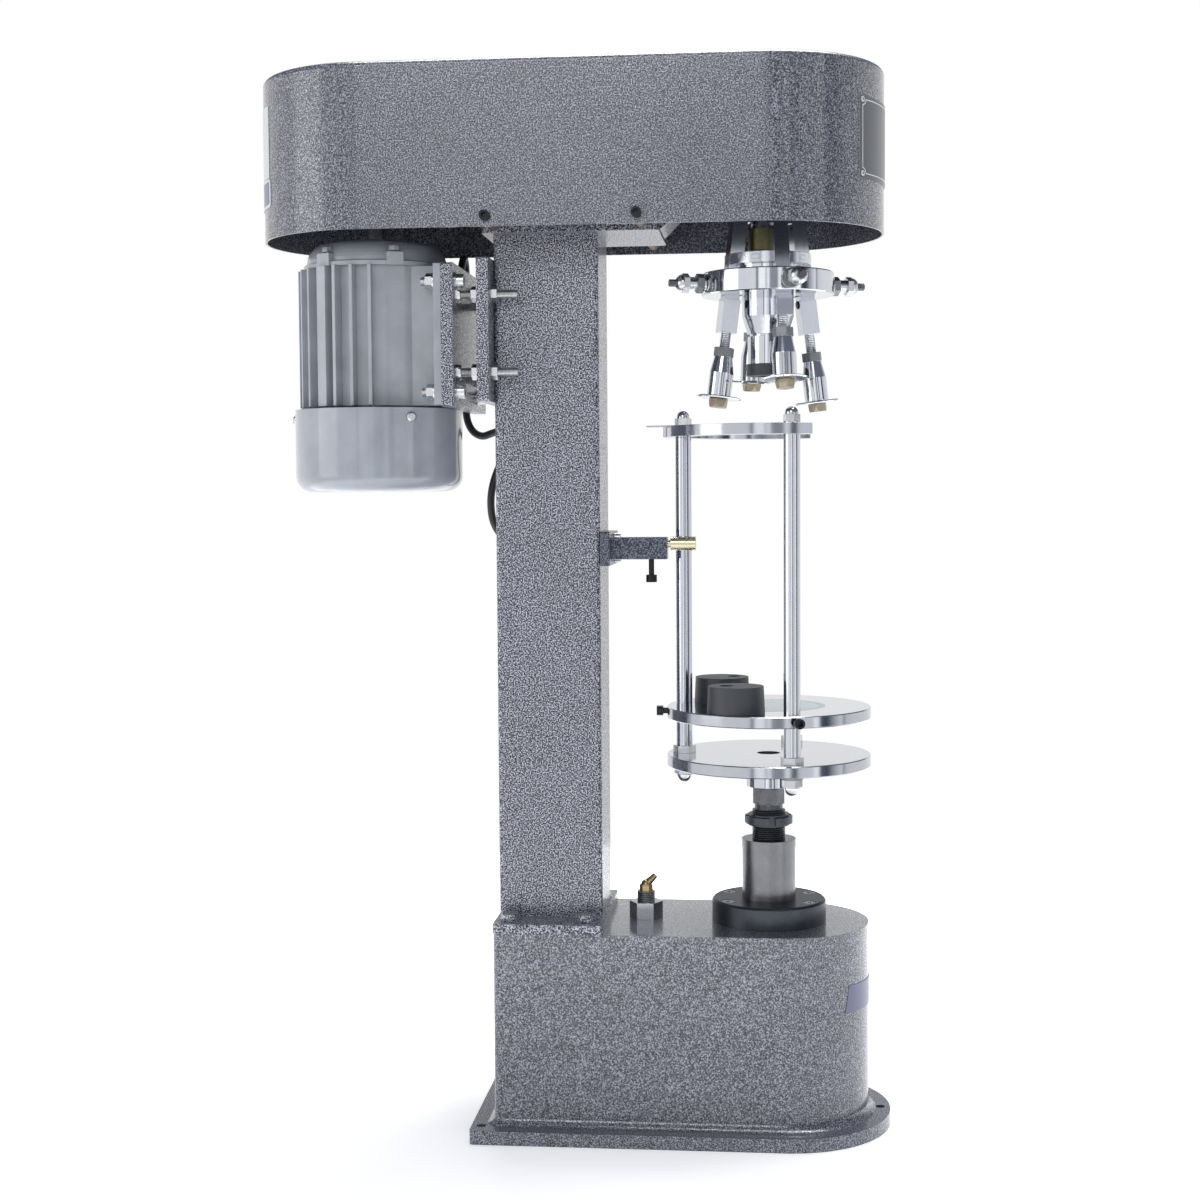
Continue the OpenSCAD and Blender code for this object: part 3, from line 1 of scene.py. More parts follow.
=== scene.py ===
"""Looks of the screw capper: materials, small details, camera, floor and light."""

import json
import math

import bpy
from mathutils import Matrix, Vector


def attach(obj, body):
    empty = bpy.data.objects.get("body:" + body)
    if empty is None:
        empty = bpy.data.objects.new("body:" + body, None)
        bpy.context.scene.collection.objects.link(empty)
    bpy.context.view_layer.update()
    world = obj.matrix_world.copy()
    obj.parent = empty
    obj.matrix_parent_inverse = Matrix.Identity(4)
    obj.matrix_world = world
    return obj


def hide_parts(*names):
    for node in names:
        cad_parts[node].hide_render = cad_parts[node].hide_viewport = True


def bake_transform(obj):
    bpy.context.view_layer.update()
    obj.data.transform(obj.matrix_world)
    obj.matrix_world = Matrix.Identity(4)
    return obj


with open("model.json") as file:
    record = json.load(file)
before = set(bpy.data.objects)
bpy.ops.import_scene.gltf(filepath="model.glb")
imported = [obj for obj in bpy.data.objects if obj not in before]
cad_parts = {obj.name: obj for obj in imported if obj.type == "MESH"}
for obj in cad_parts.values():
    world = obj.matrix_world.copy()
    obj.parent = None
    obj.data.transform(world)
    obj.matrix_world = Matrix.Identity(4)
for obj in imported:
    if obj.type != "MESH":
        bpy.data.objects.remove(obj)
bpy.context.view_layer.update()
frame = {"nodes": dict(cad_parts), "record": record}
NODES = frame["nodes"]

# Sizes shared with the CAD, in metres. The levers stand left, near, right and far in the photo.
AXIS_MOTOR = -0.377
HOOD_FRONT_X = -0.003
HOOD_BACK_X = -0.371
HOOD_R = 0.112
BASE_NOSE_X = 0.015
BASE_NOSE_R = 0.0805
PIVOT_R = 0.0333
PIVOT_Z = 0.826
LEAN = math.radians(7)
LEVERS = ["left", "near", "right", "far"]
# By lever: its turn in degrees, and how far below its pin its foot and its lock nut lie
TURN = {"left": 200, "near": 290, "right": 20, "far": 110}
FOOT = {"left": 0.069, "near": 0.056, "right": 0.069, "far": 0.056}
NUT = {"left": 0.083, "near": 0.067, "right": 0.0865, "far": 0.0645}
LEAD_R = 0.0038
# The motor cable's route, in millimetres
LEAD = [(-342, 94, 790), (-332, 94, 790), (-322, 90, 796), (-314, 84, 808), (-310, 80, 822),
        (-308, 79, 834), (-307, 83, 843), (-307, 91, 845), (-307, 98, 839), (-307, 101, 826),
        (-307, 102, 806), (-307, 102, 780), (-308, 101, 750), (-308, 99, 720), (-308, 96, 698),
        (-306, 94, 682), (-300, 92, 671), (-290, 88, 666), (-278, 83, 669), (-267, 75, 671),
        (-259, 66, 664), (-260, 59, 650), (-268, 54, 634), (-274, 52, 616), (-276, 51, 598),
        (-274, 53, 580), (-267, 58, 566), (-256, 65, 556), (-243, 70, 550), (-232, 69, 548),
        (-227, 62, 548), (-227, 52, 548), (-227, 44, 548)]


# Node helpers. The first argument is a material or the world.

def add(mat, kind, **inputs):
    node = mat.node_tree.nodes.new(kind)
    for key, value in inputs.items():
        node.inputs[key.replace("_", " ")].default_value = value
    return node


def link(mat, a, b):
    mat.node_tree.links.new(a, b)


def coords(mat, kind="Object"):
    return add(mat, "ShaderNodeTexCoord").outputs[kind]


def noise(mat, scale, detail=2.0, rough=0.5, distortion=0.0, stretch=None):
    node = add(mat, "ShaderNodeTexNoise", Scale=scale, Detail=detail, Roughness=rough,
               Distortion=distortion)
    source = coords(mat)
    if stretch:
        mapping = add(mat, "ShaderNodeMapping", Scale=stretch)
        link(mat, source, mapping.inputs["Vector"])
        source = mapping.outputs["Vector"]
    link(mat, source, node.inputs["Vector"])
    return node.outputs["Fac"]


def ramp(mat, fac, stops):
    """Colours by place, from a list of (place, colour)."""
    node = add(mat, "ShaderNodeValToRGB")
    elements = node.color_ramp.elements
    while len(elements) < len(stops):
        elements.new(0.5)
    for element, (place, color) in zip(elements, stops):
        element.position = place
        element.color = (*color, 1)
    link(mat, fac, node.inputs["Fac"])
    return node.outputs["Color"]


def spread(mat, fac, low, high, start=0.0, end=1.0):
    """Maps the range from start to end onto the range from low to high."""
    node = add(mat, "ShaderNodeMapRange", To_Min=low, To_Max=high, From_Min=start, From_Max=end)
    link(mat, fac, node.inputs["Value"])
    return node.outputs["Result"]


def mix(mat, fac, a, b, blend="MIX"):
    """Blends colour a into b by fac. Each is a value or another node's output."""
    node = add(mat, "ShaderNodeMix")
    node.data_type = "RGBA"
    node.blend_type = blend
    for place, source in ((0, fac), (6, a), (7, b)):
        if isinstance(source, bpy.types.NodeSocket):
            link(mat, source, node.inputs[place])
        else:
            node.inputs[place].default_value = (*source, 1) if place else source
    return node.outputs[2]


def vector_math(mat, operation, source, other=None):
    node = add(mat, "ShaderNodeVectorMath")
    node.operation = operation
    if other is not None:
        node.inputs[1].default_value = other
    link(mat, source, node.inputs[0])
    return node.outputs["Value" if operation in ("DOT_PRODUCT", "LENGTH") else "Vector"]


def plain_math(mat, operation, source, other=0.5):
    node = add(mat, "ShaderNodeMath")
    node.operation = operation
    node.inputs[1].default_value = other
    link(mat, source, node.inputs[0])
    return node.outputs[0]


# Materials

def new_material(name, color, metallic=0.0, roughness=0.5, coat=0.0):
    mat = bpy.data.materials.new(name)
    mat.use_nodes = True
    inputs = shader_inputs(mat)
    inputs["Base Color"].default_value = (*color, 1)
    inputs["Metallic"].default_value = metallic
    inputs["Roughness"].default_value = roughness
    inputs["Coat Weight"].default_value = coat
    inputs["Coat Roughness"].default_value = 0.12
    return mat


def shader_inputs(mat):
    return mat.node_tree.nodes["Principled BSDF"].inputs


def bump(mat, height, strength, distance, soft=None):
    node = add(mat, "ShaderNodeBump", Strength=strength, Distance=distance)
    link(mat, height, node.inputs["Height"])
    if soft is not None:
        link(mat, soft, node.inputs["Normal"])
    link(mat, node.outputs["Normal"], shader_inputs(mat)["Normal"])


def soft_edges(mat, radius):
    node = add(mat, "ShaderNodeBevel", Radius=radius)
    node.samples = 4
    return node.outputs["Normal"]


def hammertone(name, dark, mid, light, width=0.135, coat=0.35):
    """Hammer finish paint: short pale strokes and dark pits about 1.5 mm across."""
    mat = new_material(name, mid, metallic=0.3, roughness=0.36, coat=coat)
    grain = noise(mat, 840, detail=0.6, rough=0.4, distortion=0.35)
    color = ramp(mat, grain, [(0.5 - width, dark), (0.5, mid), (0.5 + width, light)])
    cloud = ramp(mat, noise(mat, 14, detail=3.0), [(0.3, (0.9, 0.9, 0.9)), (0.7, (1.0, 1.0, 1.0))])
    link(mat, mix(mat, 1.0, color, cloud, "MULTIPLY"), shader_inputs(mat)["Base Color"])
    link(mat, spread(mat, grain, 0.5, 0.3, 0.3, 0.7), shader_inputs(mat)["Roughness"])
    bump(mat, grain, 0.3, 0.0005, soft_edges(mat, 0.0012))
    return mat


def metal(name, color, roughness, grain=0.0, stretch=None, scale=900, cloud=0.06):
    """Bare or plated metal: cloudy tone, and fine lines where it has grain."""
    mat = new_material(name, color, metallic=1.0, roughness=roughness)
    soft = soft_edges(mat, 0.0005)
    smear = noise(mat, 70, detail=4.0, rough=0.6)
    tone = ramp(mat, smear, [(0.32, [c * (1 - cloud) for c in color]), (0.68, color)])
    link(mat, tone, shader_inputs(mat)["Base Color"])
    lines = noise(mat, scale, detail=2.0, stretch=stretch) if grain else smear
    link(mat, spread(mat, lines, roughness * 0.7, roughness * 1.35),
         shader_inputs(mat)["Roughness"])
    if grain:
        bump(mat, lines, grain, 0.0002, soft)
    else:
        link(mat, soft, shader_inputs(mat)["Normal"])
    return mat


def threaded(name, color, roughness, axis, pitch=0.0015):
    """Bare metal with the grooves of a thread across an axis of the row frame; painted shade
    darkens the grooves.
    """
    mat = new_material(name, color, metallic=1.0, roughness=roughness)
    along = vector_math(mat, "DOT_PRODUCT", coords(mat), axis)
    wave = plain_math(mat, "SINE", plain_math(mat, "MULTIPLY", along, 2 * math.pi / pitch))
    # Painted shade: the colour darkens towards the bottom of each groove
    groove_shade = spread(mat, wave, 0.2, 1.0, -1.0, 1.0)
    link(mat, mix(mat, groove_shade, [c * 0.35 for c in color], color), shader_inputs(mat)["Base Color"])
    bump(mat, wave, 0.6, pitch * 0.3)
    return mat


def plastic(name, color, roughness, grain=0.05, coat=0.0):
    mat = new_material(name, color, roughness=roughness, coat=coat)
    soft = soft_edges(mat, 0.0006)
    rough = noise(mat, 1500, detail=3.0)
    link(mat, spread(mat, rough, roughness * 0.85, min(1.0, roughness * 1.15)),
         shader_inputs(mat)["Roughness"])
    bump(mat, rough, grain, 0.0002, soft)
    return mat


def gloss_paint(name, color, coat=0.5, orange=0.08):
    """Smooth enamel with a slight orange peel."""
    mat = new_material(name, color, roughness=0.3, coat=coat)
    shader_inputs(mat)["Coat Roughness"].default_value = 0.06
    cloud = noise(mat, 35, detail=3.0)
    tint = ramp(mat, cloud, [(0.35, [0.9 * c for c in color]), (0.65, [1.06 * c for c in color])])
    link(mat, tint, shader_inputs(mat)["Base Color"])
    bump(mat, noise(mat, 420, detail=2.0), orange, 0.0004, soft_edges(mat, 0.0012))
    return mat


def by_radius(name, stops, roughness, coat=0.0):
    """A round piece on the cage's axis. Its colour follows the distance from it, 1 at 0.1 m."""
    mat = plastic(name, stops[-1][1], roughness, coat=coat)
    size = vector_math(mat, "LENGTH", vector_math(mat, "MULTIPLY", coords(mat), (1, 1, 0)))
    link(mat, ramp(mat, spread(mat, size, 0.0, 1.0, 0.0, 0.1), stops),
         shader_inputs(mat)["Base Color"])
    return mat


HAMMER = hammertone("hammertone", (0.005, 0.006, 0.010), (0.108, 0.113, 0.139),
                    (0.56, 0.57, 0.66))
HAMMER_SOFT = hammertone("hammertone_soft", (0.010, 0.011, 0.016), (0.098, 0.103, 0.127),
                         (0.38, 0.39, 0.46), width=0.2, coat=0.9)
STOP_PAINT = hammertone("stop_paint", (0.01, 0.012, 0.02), (0.048, 0.055, 0.082),
                        (0.19, 0.21, 0.29))
BOLTS = hammertone("bolts", (0.02, 0.022, 0.03), (0.19, 0.2, 0.23), (0.6, 0.61, 0.68))
CHROME = metal("chrome", (0.62, 0.64, 0.68), 0.085)
NUT_CHROME = metal("nut_chrome", (0.62, 0.63, 0.65), 0.14, cloud=0.2)
SATIN = metal("satin_chrome", (0.60, 0.62, 0.67), 0.17, grain=0.04, stretch=(1, 1, 0.2))
BRIGHT = metal("bright_plate", (0.50, 0.52, 0.56), 0.13, grain=0.03)
STEEL = metal("steel", (0.50, 0.51, 0.53), 0.24, grain=0.05)
RAM = metal("ram_steel", (0.21, 0.215, 0.225), 0.3, grain=0.12, stretch=(0.15, 0.15, 4),
            cloud=0.15)
ZINC = metal("zinc", (0.60, 0.61, 0.62), 0.26, grain=0.08)
WORN = metal("worn_steel", (0.17, 0.175, 0.19), 0.42, grain=0.2, scale=420, cloud=0.35)
YELLOW_ZINC = metal("yellow_zinc", (0.44, 0.385, 0.285), 0.4, grain=0.12, cloud=0.2)
BRASS = metal("brass", (0.42, 0.34, 0.17), 0.3, grain=0.1, cloud=0.25)
PIN_BRASS = metal("pin_brass", (0.62, 0.55, 0.40), 0.24, grain=0.08, stretch=(4, 0.2, 0.2))
BRONZE = metal("bronze", (0.21, 0.198, 0.11), 0.4, grain=0.3, scale=500, cloud=0.3)
# The spreader's cone: steel whose colour is darkened as painted shade
SHADED_CONE = metal("cone_steel_painted_shade", (0.20, 0.21, 0.23), 0.2, grain=0.06)
CAST = metal("cast", (0.22, 0.22, 0.23), 0.45, grain=0.2)
BEARING = metal("bearing_steel", (0.6, 0.6, 0.62), 0.2)
DARK_SCREW = metal("dark_screws", (0.035, 0.036, 0.04), 0.35, grain=0.1, cloud=0.2)
BLACKENED = metal("blackened", (0.082, 0.089, 0.102), 0.38, grain=0.12, cloud=0.25)
DARK_NUT = metal("dark_nut", (0.29, 0.30, 0.315), 0.48, grain=0.15, cloud=0.2)
SCREW_THREAD = threaded("screw_thread", (0.07, 0.075, 0.085), 0.35, (0, 0, 1), 0.002)
FITTING_THREAD = threaded("fitting_thread", (0.35, 0.34, 0.32), 0.35, (0, 0, 1), 0.0018)
DRAW_THREAD = threaded("draw_thread", (0.88, 0.88, 0.87), 0.28, (1, 0, 0), 0.00125)
MOTOR = gloss_paint("motor_paint", (0.34, 0.365, 0.40))
COWL = gloss_paint("cowl_paint", (0.31, 0.335, 0.375), coat=1.0, orange=0.015)
FAN = plastic("fan_plastic", (0.03, 0.03, 0.033), 0.6)
RUBBER = plastic("rubber", (0.038, 0.042, 0.050), 0.45, grain=0.15)
BELT = plastic("belt", (0.02, 0.02, 0.02), 0.75, grain=0.2)
CABLE = plastic("cable", (0.014, 0.014, 0.016), 0.4)
PALE = by_radius("pale_plastic", [(0.0, (0.29, 0.38, 0.40)), (0.46, (0.27, 0.37, 0.38)),
                                  (0.50, (0.14, 0.26, 0.25)), (0.6, (0.13, 0.24, 0.23))],
                 0.25, coat=0.3)
PLATE_DARK = plastic("plate_dark", (0.070, 0.078, 0.095), 0.33, coat=0.25)
PLATE_PALE = plastic("plate_pale", (0.60, 0.62, 0.63), 0.35, coat=0.3)
PLATE_BLUE = plastic("plate_blue", (0.115, 0.125, 0.225), 0.35, coat=0.3)
BROWN = plastic("spacer_brown", (0.085, 0.06, 0.045), 0.5)

BY_SLOT = {
    "hammertone": HAMMER, "bolts": BOLTS, "dark_screws": DARK_SCREW, "bearing_steel": BEARING,
    "zinc": ZINC, "blackened": BLACKENED, "steel": STEEL, "ram_steel": RAM, "chrome": CHROME,
    "bright_plate": BRIGHT, "brass": BRASS, "bronze": BRONZE, "cast": CAST,
    "motor_paint": MOTOR, "cowl_paint": COWL, "fan_plastic": FAN, "rubber": RUBBER,
    "belt": BELT, "cable": CABLE, "pale_plastic": PALE,
}
BY_NODE = {
    "hood": HAMMER_SOFT, "base_casting": HAMMER_SOFT, "stop_bracket": STOP_PAINT,
    "guide_pin": PIN_BRASS, "lever_carrier": SATIN, "lever_ring": CHROME, "lever_pins": SATIN,
    "post_nuts": NUT_CHROME, "table_screw": BLACKENED,
}
for lever in LEVERS:
    BY_NODE["lever_" + lever] = SATIN
    BY_NODE["roller_" + lever] = CHROME

for part in frame["record"]["subparts"]:
    part_mesh = NODES[part["node"]].data
    part_mesh.materials.clear()
    part_mesh.materials.append(BY_NODE.get(part["node"], BY_SLOT[part["material_slot"]]))


# Second finishes on CAD nodes, told apart by where a face lies

def paint(node, *rules):
    """Gives a CAD node more materials: each rule is a test of a face's middle and a material."""
    mesh = NODES[node].data
    base = len(mesh.materials)
    for _, mat in rules:
        mesh.materials.append(mat)
    for face in mesh.polygons:
        for i, (test, _) in enumerate(rules):
            if test(face.center, face.normal):
                face.material_index = base + i
                break


def lever_out(name):
    """Level direction from the spindle to a lever."""
    a = math.radians(TURN[name])
    return Vector((math.cos(a), math.sin(a), 0))


def lever_axis(name):
    """Direction up along a lever."""
    return Vector((0, 0, math.cos(LEAN))) - lever_out(name) * math.sin(LEAN)


def lever_pin(name):
    return Vector((0, 0, PIVOT_Z)) + lever_out(name) * PIVOT_R


def down(name, p):
    """Distance below a lever's pin along the lever."""
    return -(p - lever_pin(name)).dot(lever_axis(name))


def is_side(n):
    """True for a face that isn't level."""
    return abs(n.z) < 0.5


def is_round(n):
    """True for a face that doesn't look along X."""
    return abs(n.x) < 0.5


# Along a lever: the rod starts below the foot, and the holder's lock nut and bolt are dull
ROD_START = 0.0005
NUT_H = 0.0086
HOLDER_H = 0.0462


def paint_lever(name):
    rod = threaded("rod_thread_" + name, (0.78, 0.79, 0.82), 0.25, lever_axis(name), 0.0017)
    rod_start = FOOT[name] + ROD_START
    nut_end = NUT[name] + NUT_H
    bolt_start = NUT[name] + HOLDER_H
    paint("lever_" + name, (lambda p, n: down(name, p) > rod_start, rod))
    paint("holder_" + name, (lambda p, n: down(name, p) < nut_end, DARK_NUT),
          (lambda p, n: down(name, p) > bolt_start, YELLOW_ZINC))


# Out from the spindle: a spring stud's inner nut and its tip
STUD_NUT = (0.0645, 0.0712)
STUD_TIP = 0.0902


def paint_stud(name):
    out = lever_out(name)
    paint("spring_studs", (lambda p, n: STUD_NUT[0] < p.dot(out) < STUD_NUT[1], DARK_NUT),
          (lambda p, n: p.dot(out) > STUD_TIP, WORN))


for lever in LEVERS:
    paint_lever(lever)
    paint_stud(lever)

# The table screw's thread, its hexagon and the hub above it
SCREW_THREAD_TOP_Z = 0.302
SCREW_HEX_Z = 0.3064
SCREW_HUB_Z = 0.3248
paint("table_screw", (lambda p, n: p.z > SCREW_HUB_Z, CHROME),
      (lambda p, n: p.z > SCREW_HEX_Z, WORN),
      (lambda p, n: p.z < SCREW_THREAD_TOP_Z and is_side(n), SCREW_THREAD))

# The spreader's turned cone, darkened with painted shade, and the flat nuts of the posts on the
# table
CONE_Z = 0.855
FLAT_NUT_Z = (0.3426, 0.34575)
paint("spreader", (lambda p, n: p.z > CONE_Z, SHADED_CONE))
paint("post_nuts", (lambda p, n: FLAT_NUT_Z[0] < p.z < FLAT_NUT_Z[1], DARK_NUT))

# The grease fitting's thread, and its nipple above it
FITTING_THREAD_Z = 0.2115
NIPPLE_Z = 0.2205
paint("grease_fitting", (lambda p, n: p.z > NIPPLE_Z, BRASS),
      (lambda p, n: p.z > FITTING_THREAD_Z and is_side(n), FITTING_THREAD))

# The thread ends of the motor's draw bolts and foot bolts
DRAW_BOLT_X = -0.2835
FOOT_BOLT_X = -0.3176
paint("motor_bolts", (lambda p, n: p.x > DRAW_BOLT_X and is_round(n), DRAW_THREAD),
      (lambda p, n: p.x < FOOT_BOLT_X and is_round(n), DRAW_THREAD))

# The hood screws' spacers, and the stop arm's two bolts
SPACER_Y = (0.0585, 0.1095)
HOOD_SCREWS_Z = 0.80
STOP_BOLTS_X = -0.15
STOP_BOLTS_Z = (0.535, 0.58)


def is_spacer(p, n):
    return p.z > HOOD_SCREWS_Z and SPACER_Y[0] < abs(p.y) < SPACER_Y[1]


def is_stop_bolt(p, n):
    return p.x > STOP_BOLTS_X and STOP_BOLTS_Z[0] < p.z < STOP_BOLTS_Z[1] and p.y > 0


paint("frame_screws", (is_spacer, BROWN), (is_stop_bolt, ZINC))


# Small pieces that only the scene has

def new_object(name, data):
    obj = bpy.data.objects.new(name, data)
    bpy.context.scene.collection.objects.link(obj)
    return obj


def new_mesh(name, verts, faces, mat, smooth=False):
    mesh = bpy.data.meshes.new(name)
    mesh.from_pydata([tuple(v) for v in verts], [], faces)
    mesh.update()
    mesh.materials.append(mat)
    if smooth:
        mesh.polygons.foreach_set("use_smooth", [True] * len(mesh.polygons))
    return mesh


def mesh_piece(name, verts, faces, mat, body):
    obj = new_object(name, new_mesh(name, verts, faces, mat))
    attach(obj, body)
    return obj


def rings(verts_per_ring, count, start=0):
    """Faces between closed rings of vertices, from ring start on."""
    faces = []
    for ring in range(start, start + count):
        a, b = ring * verts_per_ring, (ring + 1) * verts_per_ring
        for i in range(verts_per_ring):
            j = (i + 1) % verts_per_ring
            faces.append((a + i, a + j, b + j, b + i))
    return faces


def round_wall(x, radius, back=False):
    """Gives a function of turn and height: a point and a normal on an upright round wall.

    Turn is in degrees from the near side, through the object's front or back end.
    """
    def wall(turn, out=0.0):
        a = math.radians(270 - turn if back else turn - 90)
        n = Vector((math.cos(a), math.sin(a), 0))
        return Vector((x, 0, 0)) + n * (radius + out), n
    return wall


HOOD_FRONT = round_wall(HOOD_FRONT_X, HOOD_R)
HOOD_BACK = round_wall(HOOD_BACK_X, HOOD_R, back=True)
BASE_NOSE = round_wall(BASE_NOSE_X, BASE_NOSE_R)
ON_WALL = 0.0001


def bent_plate(name, wall, low, high, thick, mat, steps, edge=None):
    """A plate on a round wall. low and high give an edge's turns and heights at its two ends."""
    verts, faces = [], []
    for i in range(steps + 1):
        for depth in (0, thick):
            for (turn0, turn1), (z0, z1) in (low, high):
                p, n = wall(turn0 + (turn1 - turn0) * i / steps, ON_WALL)
                q = p + n * depth
                verts.append((q.x, q.y, z0 + (z1 - z0) * i / steps))
    for i in range(steps):
        a, b = i * 4, (i + 1) * 4
        faces += [(a + 2, b + 2, b + 3, a + 3), (a, a + 1, b + 1, b), (a + 1, a + 3, b + 3, b + 1),
                  (a, b, b + 2, a + 2)]
    last = steps * 4
    faces += [(0, 2, 3, 1), (last, last + 1, last + 3, last + 2)]
    obj = mesh_piece(name, verts, faces, mat, "frame")
    if edge:
        obj.data.materials.append(edge)
        for i, face in enumerate(obj.data.polygons):
            face.material_index = 0 if i < 4 * steps and i % 4 == 0 else 1
    return obj


def side_step(points, d):
    """A closed flat line moved sideways by d."""
    line = []
    count = len(points)
    for i in range(count):
        p0, p1, p2 = (Vector(points[k % count]) for k in (i - 1, i, i + 1))
        a, b = (p1 - p0).normalized(), (p2 - p1).normalized()
        na, nb = Vector((a.y, -a.x)), Vector((b.y, -b.x))
        line.append(p1 + (na + nb) * (d / max(0.4, 1 + na.dot(nb))))
    return line


def notched(half_w, half_h, notch, corner=8, edge=26):
    """A closed rectangle line with round notches cut in its corners, or round corners if < 0."""
    points = []
    r = abs(notch)
    inset = 0 if notch > 0 else r
    edge_ends = ((r - half_w, half_h), (-half_w, r - half_h), (half_w - r, -half_h),
                 (half_w, half_h - r))
    for k, (sx, sy) in enumerate(((1, 1), (-1, 1), (-1, -1), (1, -1))):
        for i in range(corner + 1):
            step = 90 * i / corner
            a = math.radians(90 * k + (270 - step if notch > 0 else step))
            points.append((sx * (half_w - inset) + r * math.cos(a),
                           sy * (half_h - inset) + r * math.sin(a)))
        (x0, y0), (x1, y1) = points[-1], edge_ends[k]
        points += [(x0 + (x1 - x0) * i / edge, y0 + (y1 - y0) * i / edge)
                   for i in range(1, edge)]
    return points


def draped_line(name, wall, z0, outer, inner, out, thick, mat):
    """A thin closed line that follows the hood's round wall, between two flat closed lines."""
    verts = []
    for row, height in ((outer, 0), (outer, thick), (inner, thick), (inner, 0)):
        for x, y in row:
            p, _ = wall(90 + math.degrees(x / HOOD_R), out + height)
            verts.append((p.x, p.y, z0 + y))
    return mesh_piece(name, verts, rings(len(outer), 3), mat, "frame")


def level_plate(name, wall, turns, z0, z1, thick, mat, slot, steps, edge=None):
    bent_plate(name, wall, (turns, (z0, z0)), (turns, (z1, z1)), thick, mat, steps, edge)


# Bare name plate with a pale line on the hood's front end. Turns are in degrees.
NAME_PLATE_TURNS = (50, 130)
NAME_PLATE_Z = (0.891, 0.965)
NAME_PLATE_T = 0.0008
NAME_LINE_Z = 0.9284
NAME_LINE = notched(0.0733, 0.0331, 0.0049)
level_plate("name_plate", HOOD_FRONT, NAME_PLATE_TURNS, *NAME_PLATE_Z, NAME_PLATE_T, PLATE_DARK,
            "cable", 40, edge=ZINC)
draped_line("name_plate_line", HOOD_FRONT, NAME_LINE_Z, side_step(NAME_LINE, 0.0005),
            side_step(NAME_LINE, -0.0005), ON_WALL + NAME_PLATE_T, 0.0001, PLATE_PALE)

# Bare strip and badge on the hood's back end
LABEL_T = 0.0004
STRIP_TURNS = (57, 123)
STRIP_Z = (0.905, 0.972)
BADGE_TURNS = (57.5, 122.5)
BADGE_Z = (0.8805, 0.9015)
BADGE_RIM = notched(0.0675, 0.0135, -0.005)
level_plate("back_label", HOOD_BACK, STRIP_TURNS, *STRIP_Z, LABEL_T, PLATE_PALE,
            "pale_plastic", 32)
level_plate("back_badge", HOOD_BACK, BADGE_TURNS, *BADGE_Z, LABEL_T, PLATE_BLUE, "cable", 32)
draped_line("back_badge_rim", HOOD_BACK, sum(BADGE_Z) / 2, side_step(BADGE_RIM, 0.0),
            side_step(BADGE_RIM, -0.003), ON_WALL, 0.0006, PLATE_PALE)

# Bare slanted label on the base's nose
BASE_LABEL_LOW = ((44.6, 131), (0.1195, 0.1155))
BASE_LABEL_HIGH = ((48.4, 134.8), (0.1450, 0.1410))
bent_plate("base_label", BASE_NOSE, BASE_LABEL_LOW, BASE_LABEL_HIGH, LABEL_T, PLATE_BLUE,
           43)


def low_head(name, centre, normal, radius, height, mat, body, sides=20, top=0.7):
    """A low round head: centre on a surface, normal out of it, top radius as a share."""
    n = Vector(normal).normalized()
    u = n.orthogonal().normalized()
    w = n.cross(u)
    verts = []
    for h, r in ((0, radius), (height * 0.6, radius), (height, radius * top)):
        for i in range(sides):
            a = 2 * math.pi * i / sides
            verts.append(Vector(centre) + n * h + (u * math.cos(a) + w * math.sin(a)) * r)
    faces = rings(sides, 2)
    faces.append(tuple(range(2 * sides, 3 * sides)))
    faces.append(tuple(range(sides - 1, -1, -1)))
    return mesh_piece(name, verts, faces, mat, body)


# Rivets in the name plate's corners
RIVET_TURNS = (52.5, 127.5)
RIVET_ZS = (0.8953, 0.9615)
RIVET_R = 0.0026
RIVET_H = 0.0008
CENTRE_R = 0.0013
CENTRE_H = 0.0004
CENTRE_OUT = 0.0016


def rivet(i, j):
    z = RIVET_ZS[j]
    p, n = HOOD_FRONT(RIVET_TURNS[i], ON_WALL + NAME_PLATE_T)
    low_head(f"plate_rivet_{i}_{j}", (p.x, p.y, z), n, RIVET_R, RIVET_H, PLATE_PALE, "frame")
    p, n = HOOD_FRONT(RIVET_TURNS[i], CENTRE_OUT)
    low_head(f"rivet_centre_{i}_{j}", (p.x, p.y, z), n, CENTRE_R, CENTRE_H, BRASS, "frame")


for i in range(2):
    for j in range(2):
        rivet(i, j)


def on_motor(turn, radius, z):
    """A point round the motor's axis and its direction out from it."""
    a = math.radians(turn)
    n = Vector((math.cos(a), math.sin(a), 0))
    return Vector((AXIS_MOTOR, 0, z)) + n * radius, n


# Screws round the fan cowl
COWL_SCREW_TURNS = (64, 184, 304)
COWL_SCREW_Z = 0.68
COWL_R = 0.0806
for i, turn in enumerate(COWL_SCREW_TURNS):
    p, n = on_motor(turn, COWL_R, COWL_SCREW_Z)
    low_head(f"cowl_screw_{i}", p, n, 0.0048, 0.003, ZINC, "motor")

# Hexagon bolts on the motor's upper end shield
SHIELD_BOLT_TURNS = (64, 122, 238, 296)
SHIELD_BOLT_CIRCLE_R = 0.0665
SHIELD_Z = 0.835
for i, turn in enumerate(SHIELD_BOLT_TURNS):
    p, n = on_motor(turn, SHIELD_BOLT_CIRCLE_R, SHIELD_Z)
    low_head(f"shield_bolt_{i}", p, (0, 0, 1), 0.0055, 0.005, MOTOR, "motor",
             sides=6, top=0.9)

# Adjusting screws on the levers' inner faces, low enough to clear the presser when they close
ADJUSTER_DOWN = 0.0402
LEVER_FACE = 0.0079
ADJUSTER_R = 0.0040
ADJUSTER_H = 0.0013


def adjuster(name):
    side = lever_out(name).cross(Vector((0, 0, 1)))
    inward = Matrix.Rotation(LEAN, 3, side) @ -lever_out(name)
    p = lever_pin(name) - lever_axis(name) * ADJUSTER_DOWN + inward * LEVER_FACE
    low_head("adjuster_" + name, p, inward, ADJUSTER_R, ADJUSTER_H, DARK_SCREW, "arm_" + name,
             sides=12)


for lever in LEVERS:
    adjuster(lever)
